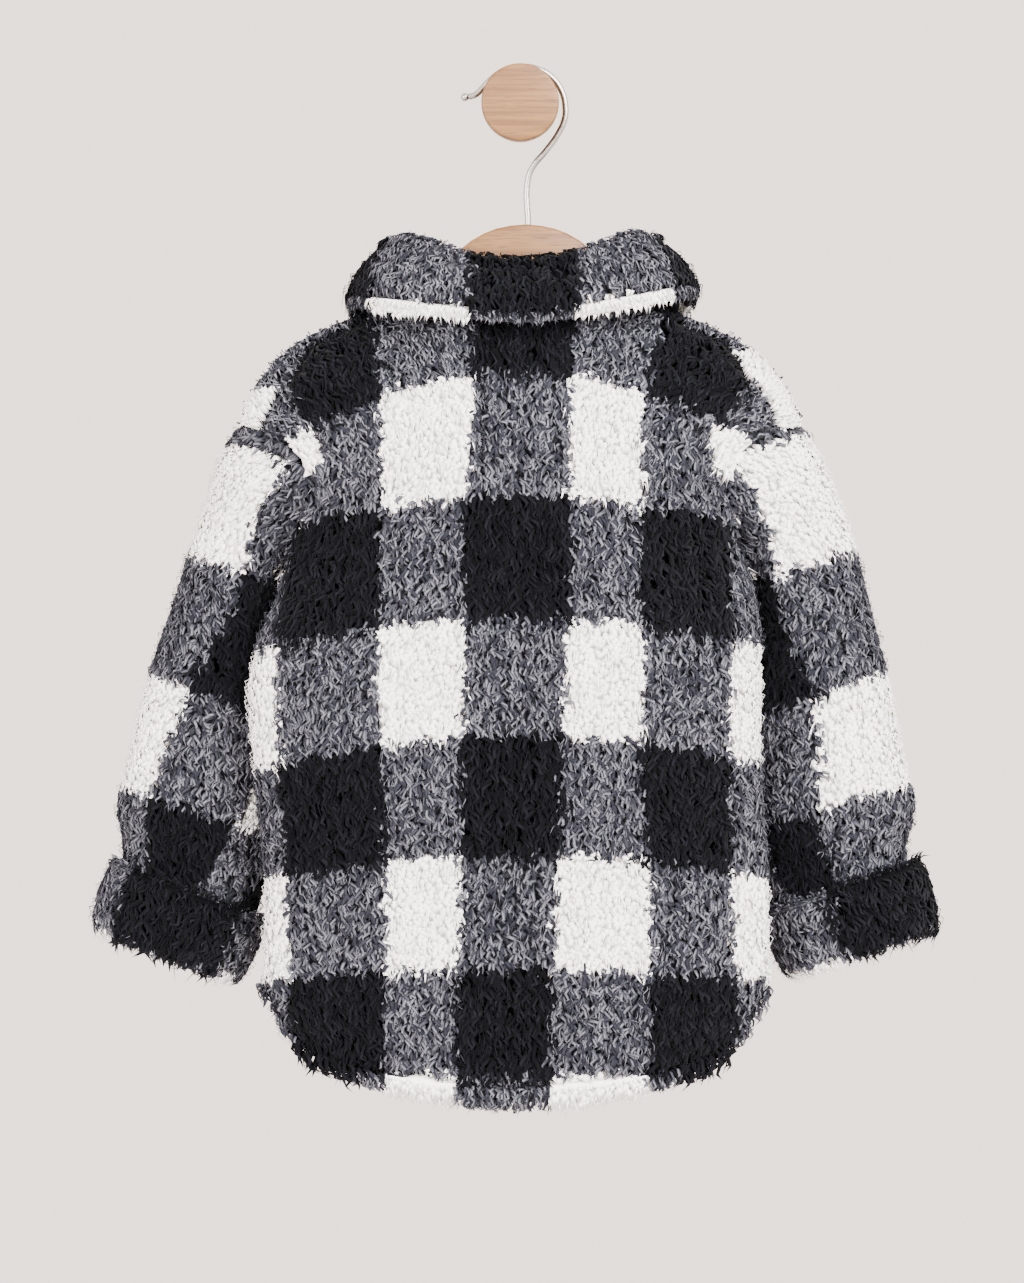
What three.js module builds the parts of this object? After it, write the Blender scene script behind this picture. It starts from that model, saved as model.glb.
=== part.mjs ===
// A child's pile fleece shirt jacket, hung on a wooden hanger from a wall peg. Millimetres.
// X is right in the view of the jacket's back, Y goes into the wall and Z is up.
// The origin is the centre of the peg's back face, on the wall.

import * as THREE from "three";

// Driving dimensions

const clothThick = 6; // cloth with its pile
const seamGap = 0.3; // between neighbouring pieces
const shoulderPlaneY = -58; // the plane of the hanger and the shoulder seams
const backDepth = 60; // how far the back stands out from the shoulder seams
const frontDepth = 44;
const armholeGap = 0.6; // from a panel's edge to the sleeve
const neckHalfWidth = 62;
const neckDepth = 38; // the neckline's reach to the back and to the front
const frontNeckDrop = 43;
const backFullness = 2.4; // how square the body's section is; 2 is round
const frontFullness = 1.8;
const chestDepth = { back: 54, front: 50, edgeBack: 36, edgeFront: 33 }; // above the underarm
const armholeLean = 2; // the left armhole stands this much further out, the right less
const hemMiddleZ = -555.5;
const hemHalfWidth = 138;
const panelDrop = 290; // a panel's height from its hem to the underarm
const shirtTailRise = 16; // hem height gained 100 mm out from the middle
const hemCornerRise = 31; // hem height gained at the side seam
const frontHemLift = 8; // the front's hem hides behind the back's
const underarmZ = -262;
const hemBandTall = 12; // from the hem to the stitched groove
const grooveDepth = 1.6;
const hemSwell = 1.2;
const collarThick = 6;
const collarFoldRadius = 4.6;
const collarLeafBulge = 3;
const collarEdgeLift = 6; // how far the leaf's edge on the right stands above the left's
const collarFoldLift = 2; // the same for the fold
const collarRightReach = 3; // and how much further out it reaches
const sleevePuff = 3; // how far the sleeve's head stands off the armhole
const sleeveSidePuff = 7; // more of it to the back and the front
const cuffTilt = { left: 21, right: 18 }; // how far each cuff leans out, in degrees
const cuffFoldDrop = { left: 11, right: 9.4 }; // the fold's distance below the sleeve's end
const buttonRadius = 7.5;
const buttonThick = 3;
const placketHalfWidth = 13;
const placketThick = 3;
const placketGap = 0.8; // from the fronts to the placket
const pegShaftRadius = 18.4;
const pegShaftLength = 64;
const pegKnobRadius = 21.5;
const pegKnobEnd = 80;
const wireRadius = 1.75;
const hangerThick = 12;
const hangerBevel = 2;

// Grid counts

const lowerRows = 13;
const upperRows = 13;
const backColumns = 22;
const frontColumns = 11;
const sleeveRows = 12;
const collarColumns = 38;

// Body levels below the arm: the middle of the back and of the front, the side seam
// and the half widths to the left and right of the view.
const bodyLevels = [
  { z: -556, left: 128, right: 126, back: -94, side: -62, front: -20 },
  { z: -520, left: 138, right: 133, back: -98, side: -66, front: -18 },
  { z: -490, left: 142, right: 137, back: -102, side: -70, front: -16 },
  { z: -430, left: 141, right: 137, back: -107, side: -74, front: -15 },
  { z: -375, left: 146, right: 133, back: -112, side: -77, front: -14 },
  { z: -327, left: 150, right: 133, back: -115, side: -78, front: -14 },
  { z: -300, left: 145, right: 133, back: -117, side: -74, front: -14 },
  { z: -275, left: 135, right: 130, back: -118, side: -68, front: -14 },
  { z: -262, left: 131, right: 127, back: -118, side: -64, front: -14 },
];

// The armhole seam from the underarm to the shoulder tip.
const armholePoints = [
  { x: 129, z: -262 },
  { x: 121, z: -232 },
  { x: 116, z: -208 },
  { x: 126, z: -190 },
  { x: 142, z: -182 },
  { x: 156, z: -178 },
];

// The outside of the cloth along the top of a shoulder.
const shoulderPoints = [
  { x: 0, z: -112 },
  { x: 40, z: -108 },
  { x: 62, z: -107 },
  { x: 94, z: -119 },
  { x: 121, z: -131 },
  { x: 135, z: -142 },
  { x: 146, z: -156 },
  { x: 153, z: -169 },
  { x: 156, z: -178 },
];

// Large soft folds: a negative depth is a hollow.
const bodyFolds = [
  { x: -22, z: -158, wide: 9, tall: 34, depth: -3 },
  { x: -104, z: -248, wide: 26, tall: 34, depth: -4 },
  { x: 104, z: -246, wide: 26, tall: 34, depth: -4 },
  { x: -108, z: -330, wide: 24, tall: 60, depth: 3 },
  { x: 60, z: -300, wide: 60, tall: 80, depth: 2 },
  { x: 0, z: -440, wide: 26, tall: 90, depth: -3 },
  { x: -64, z: -500, wide: 30, tall: 70, depth: 3 },
  { x: 62, z: -500, wide: 30, tall: 70, depth: 3 },
];

// Each sleeve's outer and inner edge as the camera sees them: how far out they lie on the left
// and on the right, and their heights; then its half depth and its middle plane.
// The inner edge hides behind the body's side.
const sleeveLevels = [
  { at: 0.0, left: [156, 129], right: [156, 129], z: [-178, -262], half: 36, y: -59 },
  { at: 0.1, left: [166, 131], right: [167, 129], z: [-203, -272], half: 33, y: -50 },
  { at: 0.2, left: [173.5, 132], right: [177, 128], z: [-229, -284], half: 30, y: -43 },
  { at: 0.34, left: [187, 132], right: [189, 127], z: [-268, -306], half: 29, y: -40 },
  { at: 0.5, left: [205, 134], right: [203, 128], z: [-314, -340], half: 29, y: -40 },
  { at: 0.68, left: [218, 136], right: [213.5, 129], z: [-364, -386], half: 28, y: -40 },
  { at: 0.78, left: [223, 138], right: [218.5, 131], z: [-390, -413], half: 26, y: -40 },
  { at: 0.87, left: [220, 145], right: [214, 138.5], z: [-416, -441], half: 23.4, y: -39 },
  { at: 1.0, left: [230, 157.5], right: [224, 150.5], z: [-450, -474], half: 22.5, y: -38 },
];

// The cuff's section: out from the sleeve's surface, and up from the fold.
const cuffSection = [
  { out: -6, up: 8.8 },
  { out: -6.4, up: 4 },
  { out: -3.5, up: 0.6 },
  { out: 2.5, up: 0 },
  { out: 5.5, up: 2.5 },
  { out: 7.5, up: 10 },
  { out: 8.6, up: 22 },
  { out: 8.8, up: 35 },
  { out: 7, up: 40.5 },
  { out: 4.4, up: 38 },
  { out: 3.4, up: 22 },
  { out: 1.4, up: 8.8 },
];

// The collar round the neck, from the middle of the back (0) to the front edge (1):
// the foot on the neckline, the fold, and the leaf's lower edge.
const collarStations = [
  { at: 0.0, foot: [0, -94, -110.7], fold: [0, -100, -92], edge: [0, -121, -123] },
  { at: 0.16, foot: [26, -91, -108.7], fold: [30, -96, -88], edge: [37, -119, -120] },
  { at: 0.32, foot: [48, -80, -106.2], fold: [58, -82, -79.5], edge: [77, -103, -116] },
  { at: 0.46, foot: [58, -60, -104.7], fold: [70, -60, -79], edge: [93, -66, -113] },
  { at: 0.62, foot: [53, -40, -113.7], fold: [64, -38, -86], edge: [88, -24, -124] },
  { at: 0.8, foot: [34, -26, -131.7], fold: [42, -24, -108], edge: [72, -9, -150] },
  { at: 1.0, foot: [6, -23, -146.7], fold: [9, -20, -126], edge: [46, -6, -172] },
];

const buttonHeights = [-178, -256, -334, -412, -490];
const placketHeights = [-162, -178, -205, -230, -262, -300, -340, -380, -420, -460, -490, -510, -528];

// The wire's middle line in its plane, from the hanger up round the peg to its tip.
const wirePoints = [
  { x: 4.4, z: -66.9 },
  { x: 4.4, z: -41.7 },
  { x: 7.2, z: -34.7 },
  { x: 14.2, z: -26.2 },
  { x: 21.2, z: -16.4 },
  { x: 24.8, z: -8 },
  { x: 25.1, z: -1 },
  { x: 23.3, z: 6.6 },
  { x: 17.6, z: 14.8 },
  { x: 9.4, z: 19.6 },
  { x: 0, z: 20.7 },
  { x: -9, z: 18.7 },
  { x: -15.7, z: 14.2 },
  { x: -20.9, z: 8.8 },
  { x: -25.1, z: 5 },
  { x: -28.6, z: 4 },
];
const tipBallRadius = 2.3;

// The hanger's hump, out from its middle; the arms follow the shoulders.
const hangerHump = [
  { x: 0, z: -67 },
  { x: 8, z: -67.6 },
  { x: 16, z: -69.2 },
  { x: 23, z: -71.9 },
  { x: 30, z: -75.9 },
  { x: 36, z: -80.6 },
  { x: 42, z: -87 },
  { x: 46.5, z: -96 },
  { x: 48.5, z: -105 },
];
const humpShift = 3; // the hump's middle stands to the right of the neck's
const hangerArmReach = 136;
const hangerArmTall = 15;
const hangerUnderside = [
  { x: 52, z: -124 },
  { x: 30, z: -114 },
  { x: 14, z: -109 },
];
const hangerMiddleZ = -108;
const hangerSeat = 2; // from the arm's middle up to the cloth, which falls away to both sides
const hangerNeckSeat = 2.9; // more of it beside the neckline

// Small tools

function smooth(from, to, value) {
  const t = THREE.MathUtils.clamp((value - from) / (to - from), 0, 1);
  return t * t * (3 - 2 * t);
}

// A smooth curve through a table's column, read at a value of its key column. The column is
// named, or picked out of a row by a function.
function along(table, key, column, value) {
  const pick = typeof column === "function" ? column : (row) => row[column];
  const rising = table[table.length - 1][key] > table[0][key] ? 1 : -1;
  let i = 0;
  while (i < table.length - 2 && (value - table[i + 1][key]) * rising > 0) i += 1;
  const slopeAt = (k) => {
    const low = table[Math.max(k - 1, 0)];
    const high = table[Math.min(k + 1, table.length - 1)];
    return (pick(high) - pick(low)) / (high[key] - low[key]);
  };
  const from = pick(table[i]);
  const to = pick(table[i + 1]);
  const span = table[i + 1][key] - table[i][key];
  const t = THREE.MathUtils.clamp((value - table[i][key]) / span, 0, 1);
  const straight = from * (1 + 2 * t) * (1 - t) ** 2 + to * t * t * (3 - 2 * t);
  const bend = slopeAt(i) * t * (1 - t) ** 2 - slopeAt(i + 1) * t * t * (1 - t);
  return straight + bend * span;
}

// A solid from vertices and triangles, turned to face outwards.
function solid(points, triangles) {
  let volume = 0;
  for (const [a, b, c] of triangles) {
    volume += points[a].dot(new THREE.Vector3().crossVectors(points[b], points[c]));
  }
  const index = triangles.flatMap(([a, b, c]) => (volume < 0 ? [a, c, b] : [a, b, c]));
  const geometry = new THREE.BufferGeometry();
  geometry.setFromPoints(points);
  geometry.setIndex(index);
  return geometry;
}

// A cloth wall between an outer and an inner grid of points, open or closed round.
function clothWall(outer, inner, closed) {
  const rows = outer.length;
  const columns = outer[0].length;
  const points = [...outer.flat(), ...inner.flat()];
  const far = rows * columns;
  const triangles = [];
  const quad = (a, b, c, d) => triangles.push([a, b, c], [a, c, d]);
  const spans = closed ? columns : columns - 1;
  for (let j = 0; j < rows - 1; j += 1) {
    for (let i = 0; i < spans; i += 1) {
      const a = j * columns + i;
      const b = j * columns + ((i + 1) % columns);
      quad(a, b, b + columns, a + columns);
      quad(far + a, far + a + columns, far + b + columns, far + b);
    }
  }
  for (let i = 0; i < spans; i += 1) {
    const next = (i + 1) % columns;
    const top = (rows - 1) * columns;
    quad(i, far + i, far + next, next);
    quad(top + i, top + next, far + top + next, far + top + i);
  }
  if (!closed) {
    for (let j = 0; j < rows - 1; j += 1) {
      const a = j * columns;
      const b = a + columns - 1;
      quad(a, a + columns, far + a + columns, far + a);
      quad(b, far + b, far + b + columns, b + columns);
    }
  }
  return solid(points, triangles);
}

// A solid through rings of points, each end closed by a flat fan.
function ringSolid(rings) {
  const count = rings[0].length;
  const points = rings.flat();
  const triangles = [];
  for (let j = 0; j < rings.length - 1; j += 1) {
    for (let i = 0; i < count; i += 1) {
      const a = j * count + i;
      const b = j * count + ((i + 1) % count);
      triangles.push([a, b, b + count], [a, b + count, a + count]);
    }
  }
  const last = (rings.length - 1) * count;
  for (let i = 1; i < count - 1; i += 1) {
    triangles.push([0, i + 1, i], [last, last + i, last + i + 1]);
  }
  return solid(points, triangles);
}

// Body panels

// Heights of the hem along its length, from the share of the half width.
function hemHeight(share, halfWidth, lift) {
  const out = Math.abs(share);
  const corner = Math.max((out - 0.8) / 0.2, 0);
  const middle = hemMiddleZ + lift;
  return middle + shirtTailRise * ((out * halfWidth) / 100) ** 2 + hemCornerRise * corner ** 2.4;
}

function foldRelief(x, z) {
  let relief = 0;
  for (const fold of bodyFolds) {
    const across = (x - fold.x) / fold.wide;
    const down = (z - fold.z) / fold.tall;
    relief += fold.depth * Math.exp(-across * across - down * down);
  }
  return relief;
}

// Share of the half width and of the depth at an angle across a panel; fullness 2 is round.
function section(angle, fullness) {
  const power = 2 / fullness;
  const across = Math.sign(angle) * Math.abs(Math.sin(angle)) ** power;
  return { across, deep: Math.max(Math.cos(angle), 0) ** power };
}

// The armhole seam, by a share of the way up from the underarm.
function armhole(rise) {
  const step = rise * (armholePoints.length - 1);
  const rows = armholePoints.map((point, i) => ({ i, ...point }));
  return { x: along(rows, "i", "x", step), z: along(rows, "i", "z", step) };
}

// A point of the back (away = -1) or front (away = 1). angle runs across, from the left
// side seam (-90 degrees) to the right; level is 0 at the hem, 1 at the underarm, 2 on top.
function bodyPoint(away, angle, level) {
  const isBack = away < 0;
  const side = angle < 0 ? "left" : "right";
  const fullness = isBack ? backFullness : frontFullness;
  const lift = isBack ? 0 : frontHemLift;
  const { across, deep } = section(angle, fullness);
  if (level <= 1) {
    const low = hemHeight(across, hemHalfWidth, lift);
    const z = low + (underarmZ - low) * level;
    const width = along(bodyLevels, "z", side, z);
    const seam = along(bodyLevels, "z", "side", z);
    const middle = along(bodyLevels, "z", isBack ? "back" : "front", z);
    return new THREE.Vector3(across * width, seam + (middle - seam) * deep, z);
  }
  const rise = level - 1;
  const edge = armhole(rise);
  const tip = shoulderPoints[shoulderPoints.length - 1];
  const lopsided = side === "left" ? armholeLean : -armholeLean;
  const spread = lopsided * (1 - smooth(0, 0.5, rise));
  const x = across * (edge.x + spread);
  const topX = Math.abs(across) * tip.x;
  const topZ = along(shoulderPoints, "x", "z", topX);
  const neckShare = Math.sqrt(Math.max(1 - (topX / neckHalfWidth) ** 2, 0));
  const drop = isBack ? 0 : frontNeckDrop * neckShare;
  const z = edge.z + (topZ - drop - tip.z) * rise * rise;
  const seam = THREE.MathUtils.lerp(-64, shoulderPlaneY, smooth(0, 1, rise));
  const low = isBack ? chestDepth.back : chestDepth.front;
  const high = isBack ? backDepth : frontDepth;
  const full = THREE.MathUtils.lerp(low, high, smooth(0, 0.5, rise));
  const edgeDepth = (isBack ? chestDepth.edgeBack : chestDepth.edgeFront) * smooth(-0.02, 0.4, rise);
  const flat = THREE.MathUtils.lerp(deep, 1 - across * across, smooth(0, 0.4, rise));
  const plain = edgeDepth + (full - edgeDepth) * flat;
  const near = Math.min((1 - rise) / 0.6, 1);
  const round = Math.sqrt(Math.max(1 - (1 - near) ** 2, 0));
  const neck = neckDepth * neckShare;
  const depth = neck + (plain - neck) * round;
  return new THREE.Vector3(x, seam + away * depth, z);
}

// A panel's outer and inner grids over an angle range. The hem carries a stitched groove.
function bodyGrids(away, fromAngle, toAngle, columns) {
  const hemRows = [0, 4, hemBandTall - 2, hemBandTall + 1, hemBandTall + 5];
  const hemRelief = [-1.4, hemSwell, hemSwell, -grooveDepth, 0];
  const levels = hemRows.map((row) => row / panelDrop);
  const first = levels[levels.length - 1];
  for (let j = 1; j <= lowerRows; j += 1) levels.push(first + ((1 - first) * j) / lowerRows);
  for (let j = 1; j <= upperRows; j += 1) levels.push(2 - (1 - j / upperRows) ** 1.4);
  const outer = [];
  const inner = [];
  levels.forEach((level, j) => {
    const outerRow = [];
    const innerRow = [];
    for (let i = 0; i <= columns; i += 1) {
      const angle = fromAngle + ((toAngle - fromAngle) * i) / columns;
      const small = 0.01;
      const point = bodyPoint(away, angle, level);
      const inAngle = THREE.MathUtils.clamp(angle, fromAngle + small, toAngle - small);
      const inLevel = THREE.MathUtils.clamp(level, small, 2 - 1.2 * small);
      const left = bodyPoint(away, inAngle - small, inLevel);
      const below = bodyPoint(away, inAngle, inLevel - small);
      const alongU = bodyPoint(away, inAngle + small, inLevel).sub(left);
      const alongV = bodyPoint(away, inAngle, inLevel + small).sub(below);
      const normal = new THREE.Vector3().crossVectors(alongU, alongV).normalize();
      if (away > 0) normal.negate();
      const onSide = Math.abs(Math.abs(angle) - Math.PI / 2) < 1e-6 && level <= 1;
      const onShoulder = level === 2 && Math.abs(point.x) > neckHalfWidth;
      const onMiddle = away > 0 && Math.abs(angle) < 1e-6;
      if (onSide || onShoulder) normal.setY(0).normalize();
      if (onMiddle) normal.setX(0).normalize();
      const folds = away < 0 ? foldRelief(point.x, point.z) * smooth(0, 0.12, Math.cos(angle)) : 0;
      const relief = (hemRelief[j] ?? 0) + folds;
      const gap = seamGap / 2;
      const moved = new THREE.Vector3(onMiddle ? Math.sign(toAngle + fromAngle) * gap : 0, 0, 0);
      if (onSide || onShoulder) moved.setY(away * gap);
      outerRow.push(point.clone().addScaledVector(normal, onSide ? 0 : relief).add(moved));
      innerRow.push(point.clone().addScaledVector(normal, -clothThick).add(moved));
    }
    outer.push(outerRow);
    inner.push(innerRow);
  });
  return { outer, inner, armRow: hemRows.length + lowerRows - 1 };
}

// Sleeves

// The armhole edge of one side as a ring of points: tip, down the back, underarm, up the front.
// Each point stands past the panel's edge by the gap, in the cloth's own direction.
function armholeRing(backGrid, frontGrid, armRow, right) {
  const pick = (row) => {
    const edge = right ? row[row.length - 1] : row[0];
    const beside = right ? row[row.length - 2] : row[1];
    const way = edge.clone().sub(beside).normalize();
    return edge.clone().addScaledVector(way, armholeGap);
  };
  const backEdge = backGrid.slice(armRow).map(pick).reverse();
  const frontEdge = frontGrid.slice(armRow).map(pick);
  const last = backEdge.length - 1;
  const tip = backEdge[0].clone().lerp(frontEdge[last], 0.5);
  const underarm = backEdge[last].clone().lerp(frontEdge[0], 0.5);
  return [tip, ...backEdge.slice(1, last), underarm, ...frontEdge.slice(1, last)];
}

// The sleeve's smooth form at a share of its length, as an ellipse round its middle line.
function sleeveForm(sideSign, at, angle) {
  const read = (column) => along(sleeveLevels, "at", column, at);
  const side = sideSign < 0 ? "left" : "right";
  const edge = (k) => {
    const out = read((row) => row[side][k]);
    return new THREE.Vector3(sideSign * out, read("y"), read((row) => row.z[k]));
  };
  const outEdge = edge(0);
  const inEdge = edge(1);
  const centre = outEdge.clone().lerp(inEdge, 0.5);
  const half = outEdge.clone().sub(centre);
  const point = centre.clone().addScaledVector(half, Math.cos(angle));
  point.y -= read("half") * Math.sin(angle);
  return point;
}

function sleeveWall(sideSign, outerRing, innerRing) {
  const count = outerRing.length;
  const outer = [];
  const inner = [];
  const angles = outerRing.map((_, i) => (2 * Math.PI * i) / count);
  const start = outerRing.map((point, i) => point.clone().sub(sleeveForm(sideSign, 0, angles[i])));
  const surface = (i, at) => {
    const k = (i + count) % count;
    const fade = (1 - smooth(0, 0.3, at)) ** 1.5;
    const point = sleeveForm(sideSign, at, angles[k]).addScaledVector(start[k], fade);
    const puff = sleevePuff + sleeveSidePuff * Math.abs(Math.sin(angles[k]));
    point.x += sideSign * puff * smooth(0, 0.08, at) * (1 - smooth(0.2, 0.5, at));
    return point;
  };
  const inwards = (i, at) => {
    const alongU = surface(i + 1, at).sub(surface(i - 1, at));
    const alongV = surface(i, Math.min(at + 0.02, 1)).sub(surface(i, Math.max(at - 0.02, 0)));
    return new THREE.Vector3().crossVectors(alongU, alongV).normalize().multiplyScalar(-sideSign);
  };
  // On the seam the wall follows the panel's end, but in the underarm's crease its own way.
  const seamInner = outerRing.map((point, i) => {
    const panelWay = innerRing[i].clone().sub(point).normalize();
    const ownWay = inwards(i, 0);
    const way = ownWay.lerp(panelWay, smooth(0.2, 0.8, ownWay.dot(panelWay))).normalize();
    return point.clone().addScaledVector(way, clothThick);
  });
  outer.push(outerRing);
  inner.push(seamInner);
  for (let j = 1; j <= sleeveRows; j += 1) {
    const at = j / sleeveRows;
    const outerRow = [];
    const innerRow = [];
    for (let i = 0; i < count; i += 1) {
      const point = surface(i, at);
      outerRow.push(point);
      innerRow.push(point.clone().addScaledVector(inwards(i, at), clothThick));
    }
    outer.push(outerRow);
    inner.push(innerRow);
  }
  return clothWall(outer, inner, true);
}

// A turned-back cuff round the sleeve's end.
function cuffWall(sideSign, count) {
  const end = sleeveLevels[sleeveLevels.length - 1];
  const outEdge = sleeveForm(sideSign, 1, 0);
  const centre = outEdge.clone().lerp(sleeveForm(sideSign, 1, Math.PI), 0.5);
  const halfWide = outEdge.distanceTo(centre);
  const sideName = sideSign < 0 ? "left" : "right";
  const tilt = THREE.MathUtils.degToRad(cuffTilt[sideName]);
  const up = new THREE.Vector3(-sideSign * Math.sin(tilt), 0, Math.cos(tilt));
  const side = new THREE.Vector3(sideSign * Math.cos(tilt), 0, Math.sin(tilt));
  const rings = cuffSection.map(({ out, up: height }) => {
    const ring = [];
    for (let i = 0; i < count; i += 1) {
      const angle = (2 * Math.PI * i) / count;
      const point = centre.clone();
      point.addScaledVector(side, (halfWide + out) * Math.cos(angle));
      point.addScaledVector(up, height - cuffFoldDrop[sideName]);
      point.y -= (end.half + out) * Math.sin(angle);
      ring.push(point);
    }
    return ring;
  });
  const points = rings.flat();
  const triangles = [];
  for (let j = 0; j < rings.length; j += 1) {
    const below = j * count;
    const above = ((j + 1) % rings.length) * count;
    for (let i = 0; i < count; i += 1) {
      const next = (i + 1) % count;
      triangles.push([below + i, below + next, above + next], [below + i, above + next, above + i]);
    }
  }
  return solid(points, triangles);
}

// Collar

function collarPath(at) {
  const sideSign = at < 0 ? -1 : 1;
  const read = (name, k) => along(collarStations, "at", (row) => row[name][k], Math.abs(at));
  const place = (name) => new THREE.Vector3(sideSign * read(name, 0), read(name, 1), read(name, 2));
  const foot = place("foot");
  const fold = place("fold");
  const edge = place("edge");
  const rightShare = smooth(0.05, 0.4, at) * (1 - smooth(0.7, 1, at));
  fold.x += (collarRightReach * rightShare) / 2;
  fold.z += collarFoldLift * rightShare;
  edge.x += collarRightReach * rightShare;
  edge.z += collarEdgeLift * rightShare;
  const out = new THREE.Vector3(edge.x - foot.x, edge.y - foot.y, 0).normalize();
  const inside = fold.clone().addScaledVector(out, -collarFoldRadius);
  const outside = fold.clone().addScaledVector(out, collarFoldRadius);
  const path = [];
  for (const share of [0, 0.35, 0.7, 1]) path.push(foot.clone().lerp(inside, share));
  for (const turn of [135, 90, 45]) {
    const angle = THREE.MathUtils.degToRad(turn);
    const point = fold.clone().addScaledVector(out, collarFoldRadius * Math.cos(angle));
    path.push(point.add(new THREE.Vector3(0, 0, collarFoldRadius * Math.sin(angle))));
  }
  for (const share of [0, 0.25, 0.5, 0.68, 0.76, 0.84, 1]) {
    const point = outside.clone().lerp(edge, share);
    path.push(point.addScaledVector(out, collarLeafBulge * Math.sin(Math.PI * share)));
  }
  return path;
}

function collarWall() {
  const outer = [];
  const inner = [];
  const leafRelief = { 11: 0.4, 12: -grooveDepth, 13: 0.4 };
  const step = 0.004;
  for (let i = 0; i <= collarColumns; i += 1) {
    const at = THREE.MathUtils.clamp(-1 + (2 * i) / collarColumns, -1 + step, 1 - step);
    const path = collarPath(at);
    const before = collarPath(at - step);
    const after = collarPath(at + step);
    const outerRow = [];
    const innerRow = [];
    path.forEach((point, j) => {
      const alongU = after[j].clone().sub(before[j]);
      const low = path[Math.max(j - 1, 0)];
      const high = path[Math.min(j + 1, path.length - 1)];
      const normal = new THREE.Vector3().crossVectors(high.clone().sub(low), alongU).normalize();
      const relief = leafRelief[j] ?? 0;
      outerRow.push(point.clone().addScaledVector(normal, collarThick / 2 + relief));
      innerRow.push(point.clone().addScaledVector(normal, -collarThick / 2));
    });
    outer.push(outerRow);
    inner.push(innerRow);
  }
  return clothWall(outer, inner, false);
}

// Placket and buttons

// Where the front's middle lies at a height, found by halving the range of levels.
function frontMiddleY(z) {
  let low = 0;
  let high = 2;
  for (let step = 0; step < 24; step += 1) {
    const middle = (low + high) / 2;
    if (bodyPoint(1, 0, middle).z < z) low = middle;
    else high = middle;
  }
  return bodyPoint(1, 0, low).y;
}

function placketWall() {
  const outer = [];
  const inner = [];
  for (const z of placketHeights) {
    const outerRow = [];
    const innerRow = [];
    for (let i = 0; i <= 4; i += 1) {
      const x = -placketHalfWidth + (2 * placketHalfWidth * i) / 4;
      const base = frontMiddleY(z) + placketGap;
      const eased = i === 0 || i === 4 ? 1 : 0;
      outerRow.push(new THREE.Vector3(x, base + placketThick - eased, z));
      innerRow.push(new THREE.Vector3(x, base, z));
    }
    outer.push(outerRow);
    inner.push(innerRow);
  }
  return clothWall(outer, inner, false);
}

function buttonSolid(z) {
  const profile = [
    new THREE.Vector2(0, 0),
    new THREE.Vector2(buttonRadius - 0.8, 0),
    new THREE.Vector2(buttonRadius, 0.9),
    new THREE.Vector2(buttonRadius, 2.2),
    new THREE.Vector2(buttonRadius - 1, buttonThick),
    new THREE.Vector2(buttonRadius - 2.4, buttonThick - 0.7),
    new THREE.Vector2(0, buttonThick - 0.7),
  ];
  const geometry = new THREE.LatheGeometry(profile, 18);
  const base = frontMiddleY(z) + placketGap + placketThick + placketGap / 2;
  return geometry.translate(0, base, z);
}

// Peg and hanger

function pegSolid() {
  const shaft = pegShaftLength;
  const profile = [
    new THREE.Vector2(0, 0),
    new THREE.Vector2(pegShaftRadius, 0),
    new THREE.Vector2(pegShaftRadius, shaft),
    new THREE.Vector2(pegKnobRadius - 0.8, shaft),
    new THREE.Vector2(pegKnobRadius, shaft + 0.8),
    new THREE.Vector2(pegKnobRadius, pegKnobEnd - 1.6),
    new THREE.Vector2(pegKnobRadius - 0.5, pegKnobEnd - 0.5),
    new THREE.Vector2(pegKnobRadius - 1.6, pegKnobEnd),
    new THREE.Vector2(0, pegKnobEnd),
  ];
  return new THREE.LatheGeometry(profile, 40).rotateX(Math.PI);
}

function wireSolid() {
  const line = new THREE.CatmullRomCurve3(
    wirePoints.map(({ x, z }) => new THREE.Vector3(x, shoulderPlaneY, z)),
    false,
    "centripetal",
  );
  const sides = 9;
  const steps = 44;
  const depthWay = new THREE.Vector3(0, 1, 0);
  const ring = (share, radius, shift) => {
    const tangent = line.getTangentAt(share);
    const across = new THREE.Vector3().crossVectors(tangent, depthWay).normalize();
    const centre = line.getPointAt(share).addScaledVector(tangent, shift);
    const points = [];
    for (let i = 0; i < sides; i += 1) {
      const angle = (2 * Math.PI * i) / sides;
      const point = centre.clone().addScaledVector(across, radius * Math.cos(angle));
      points.push(point.addScaledVector(depthWay, radius * Math.sin(angle)));
    }
    return points;
  };
  const rings = [];
  for (let i = 0; i <= steps; i += 1) rings.push(ring(i / steps, wireRadius, 0));
  for (const turn of [-30, 0, 30, 60, 80]) {
    const angle = THREE.MathUtils.degToRad(turn);
    const shift = tipBallRadius * (1 + Math.sin(angle));
    rings.push(ring(1, tipBallRadius * Math.cos(angle), shift));
  }
  return ringSolid(rings);
}

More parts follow.
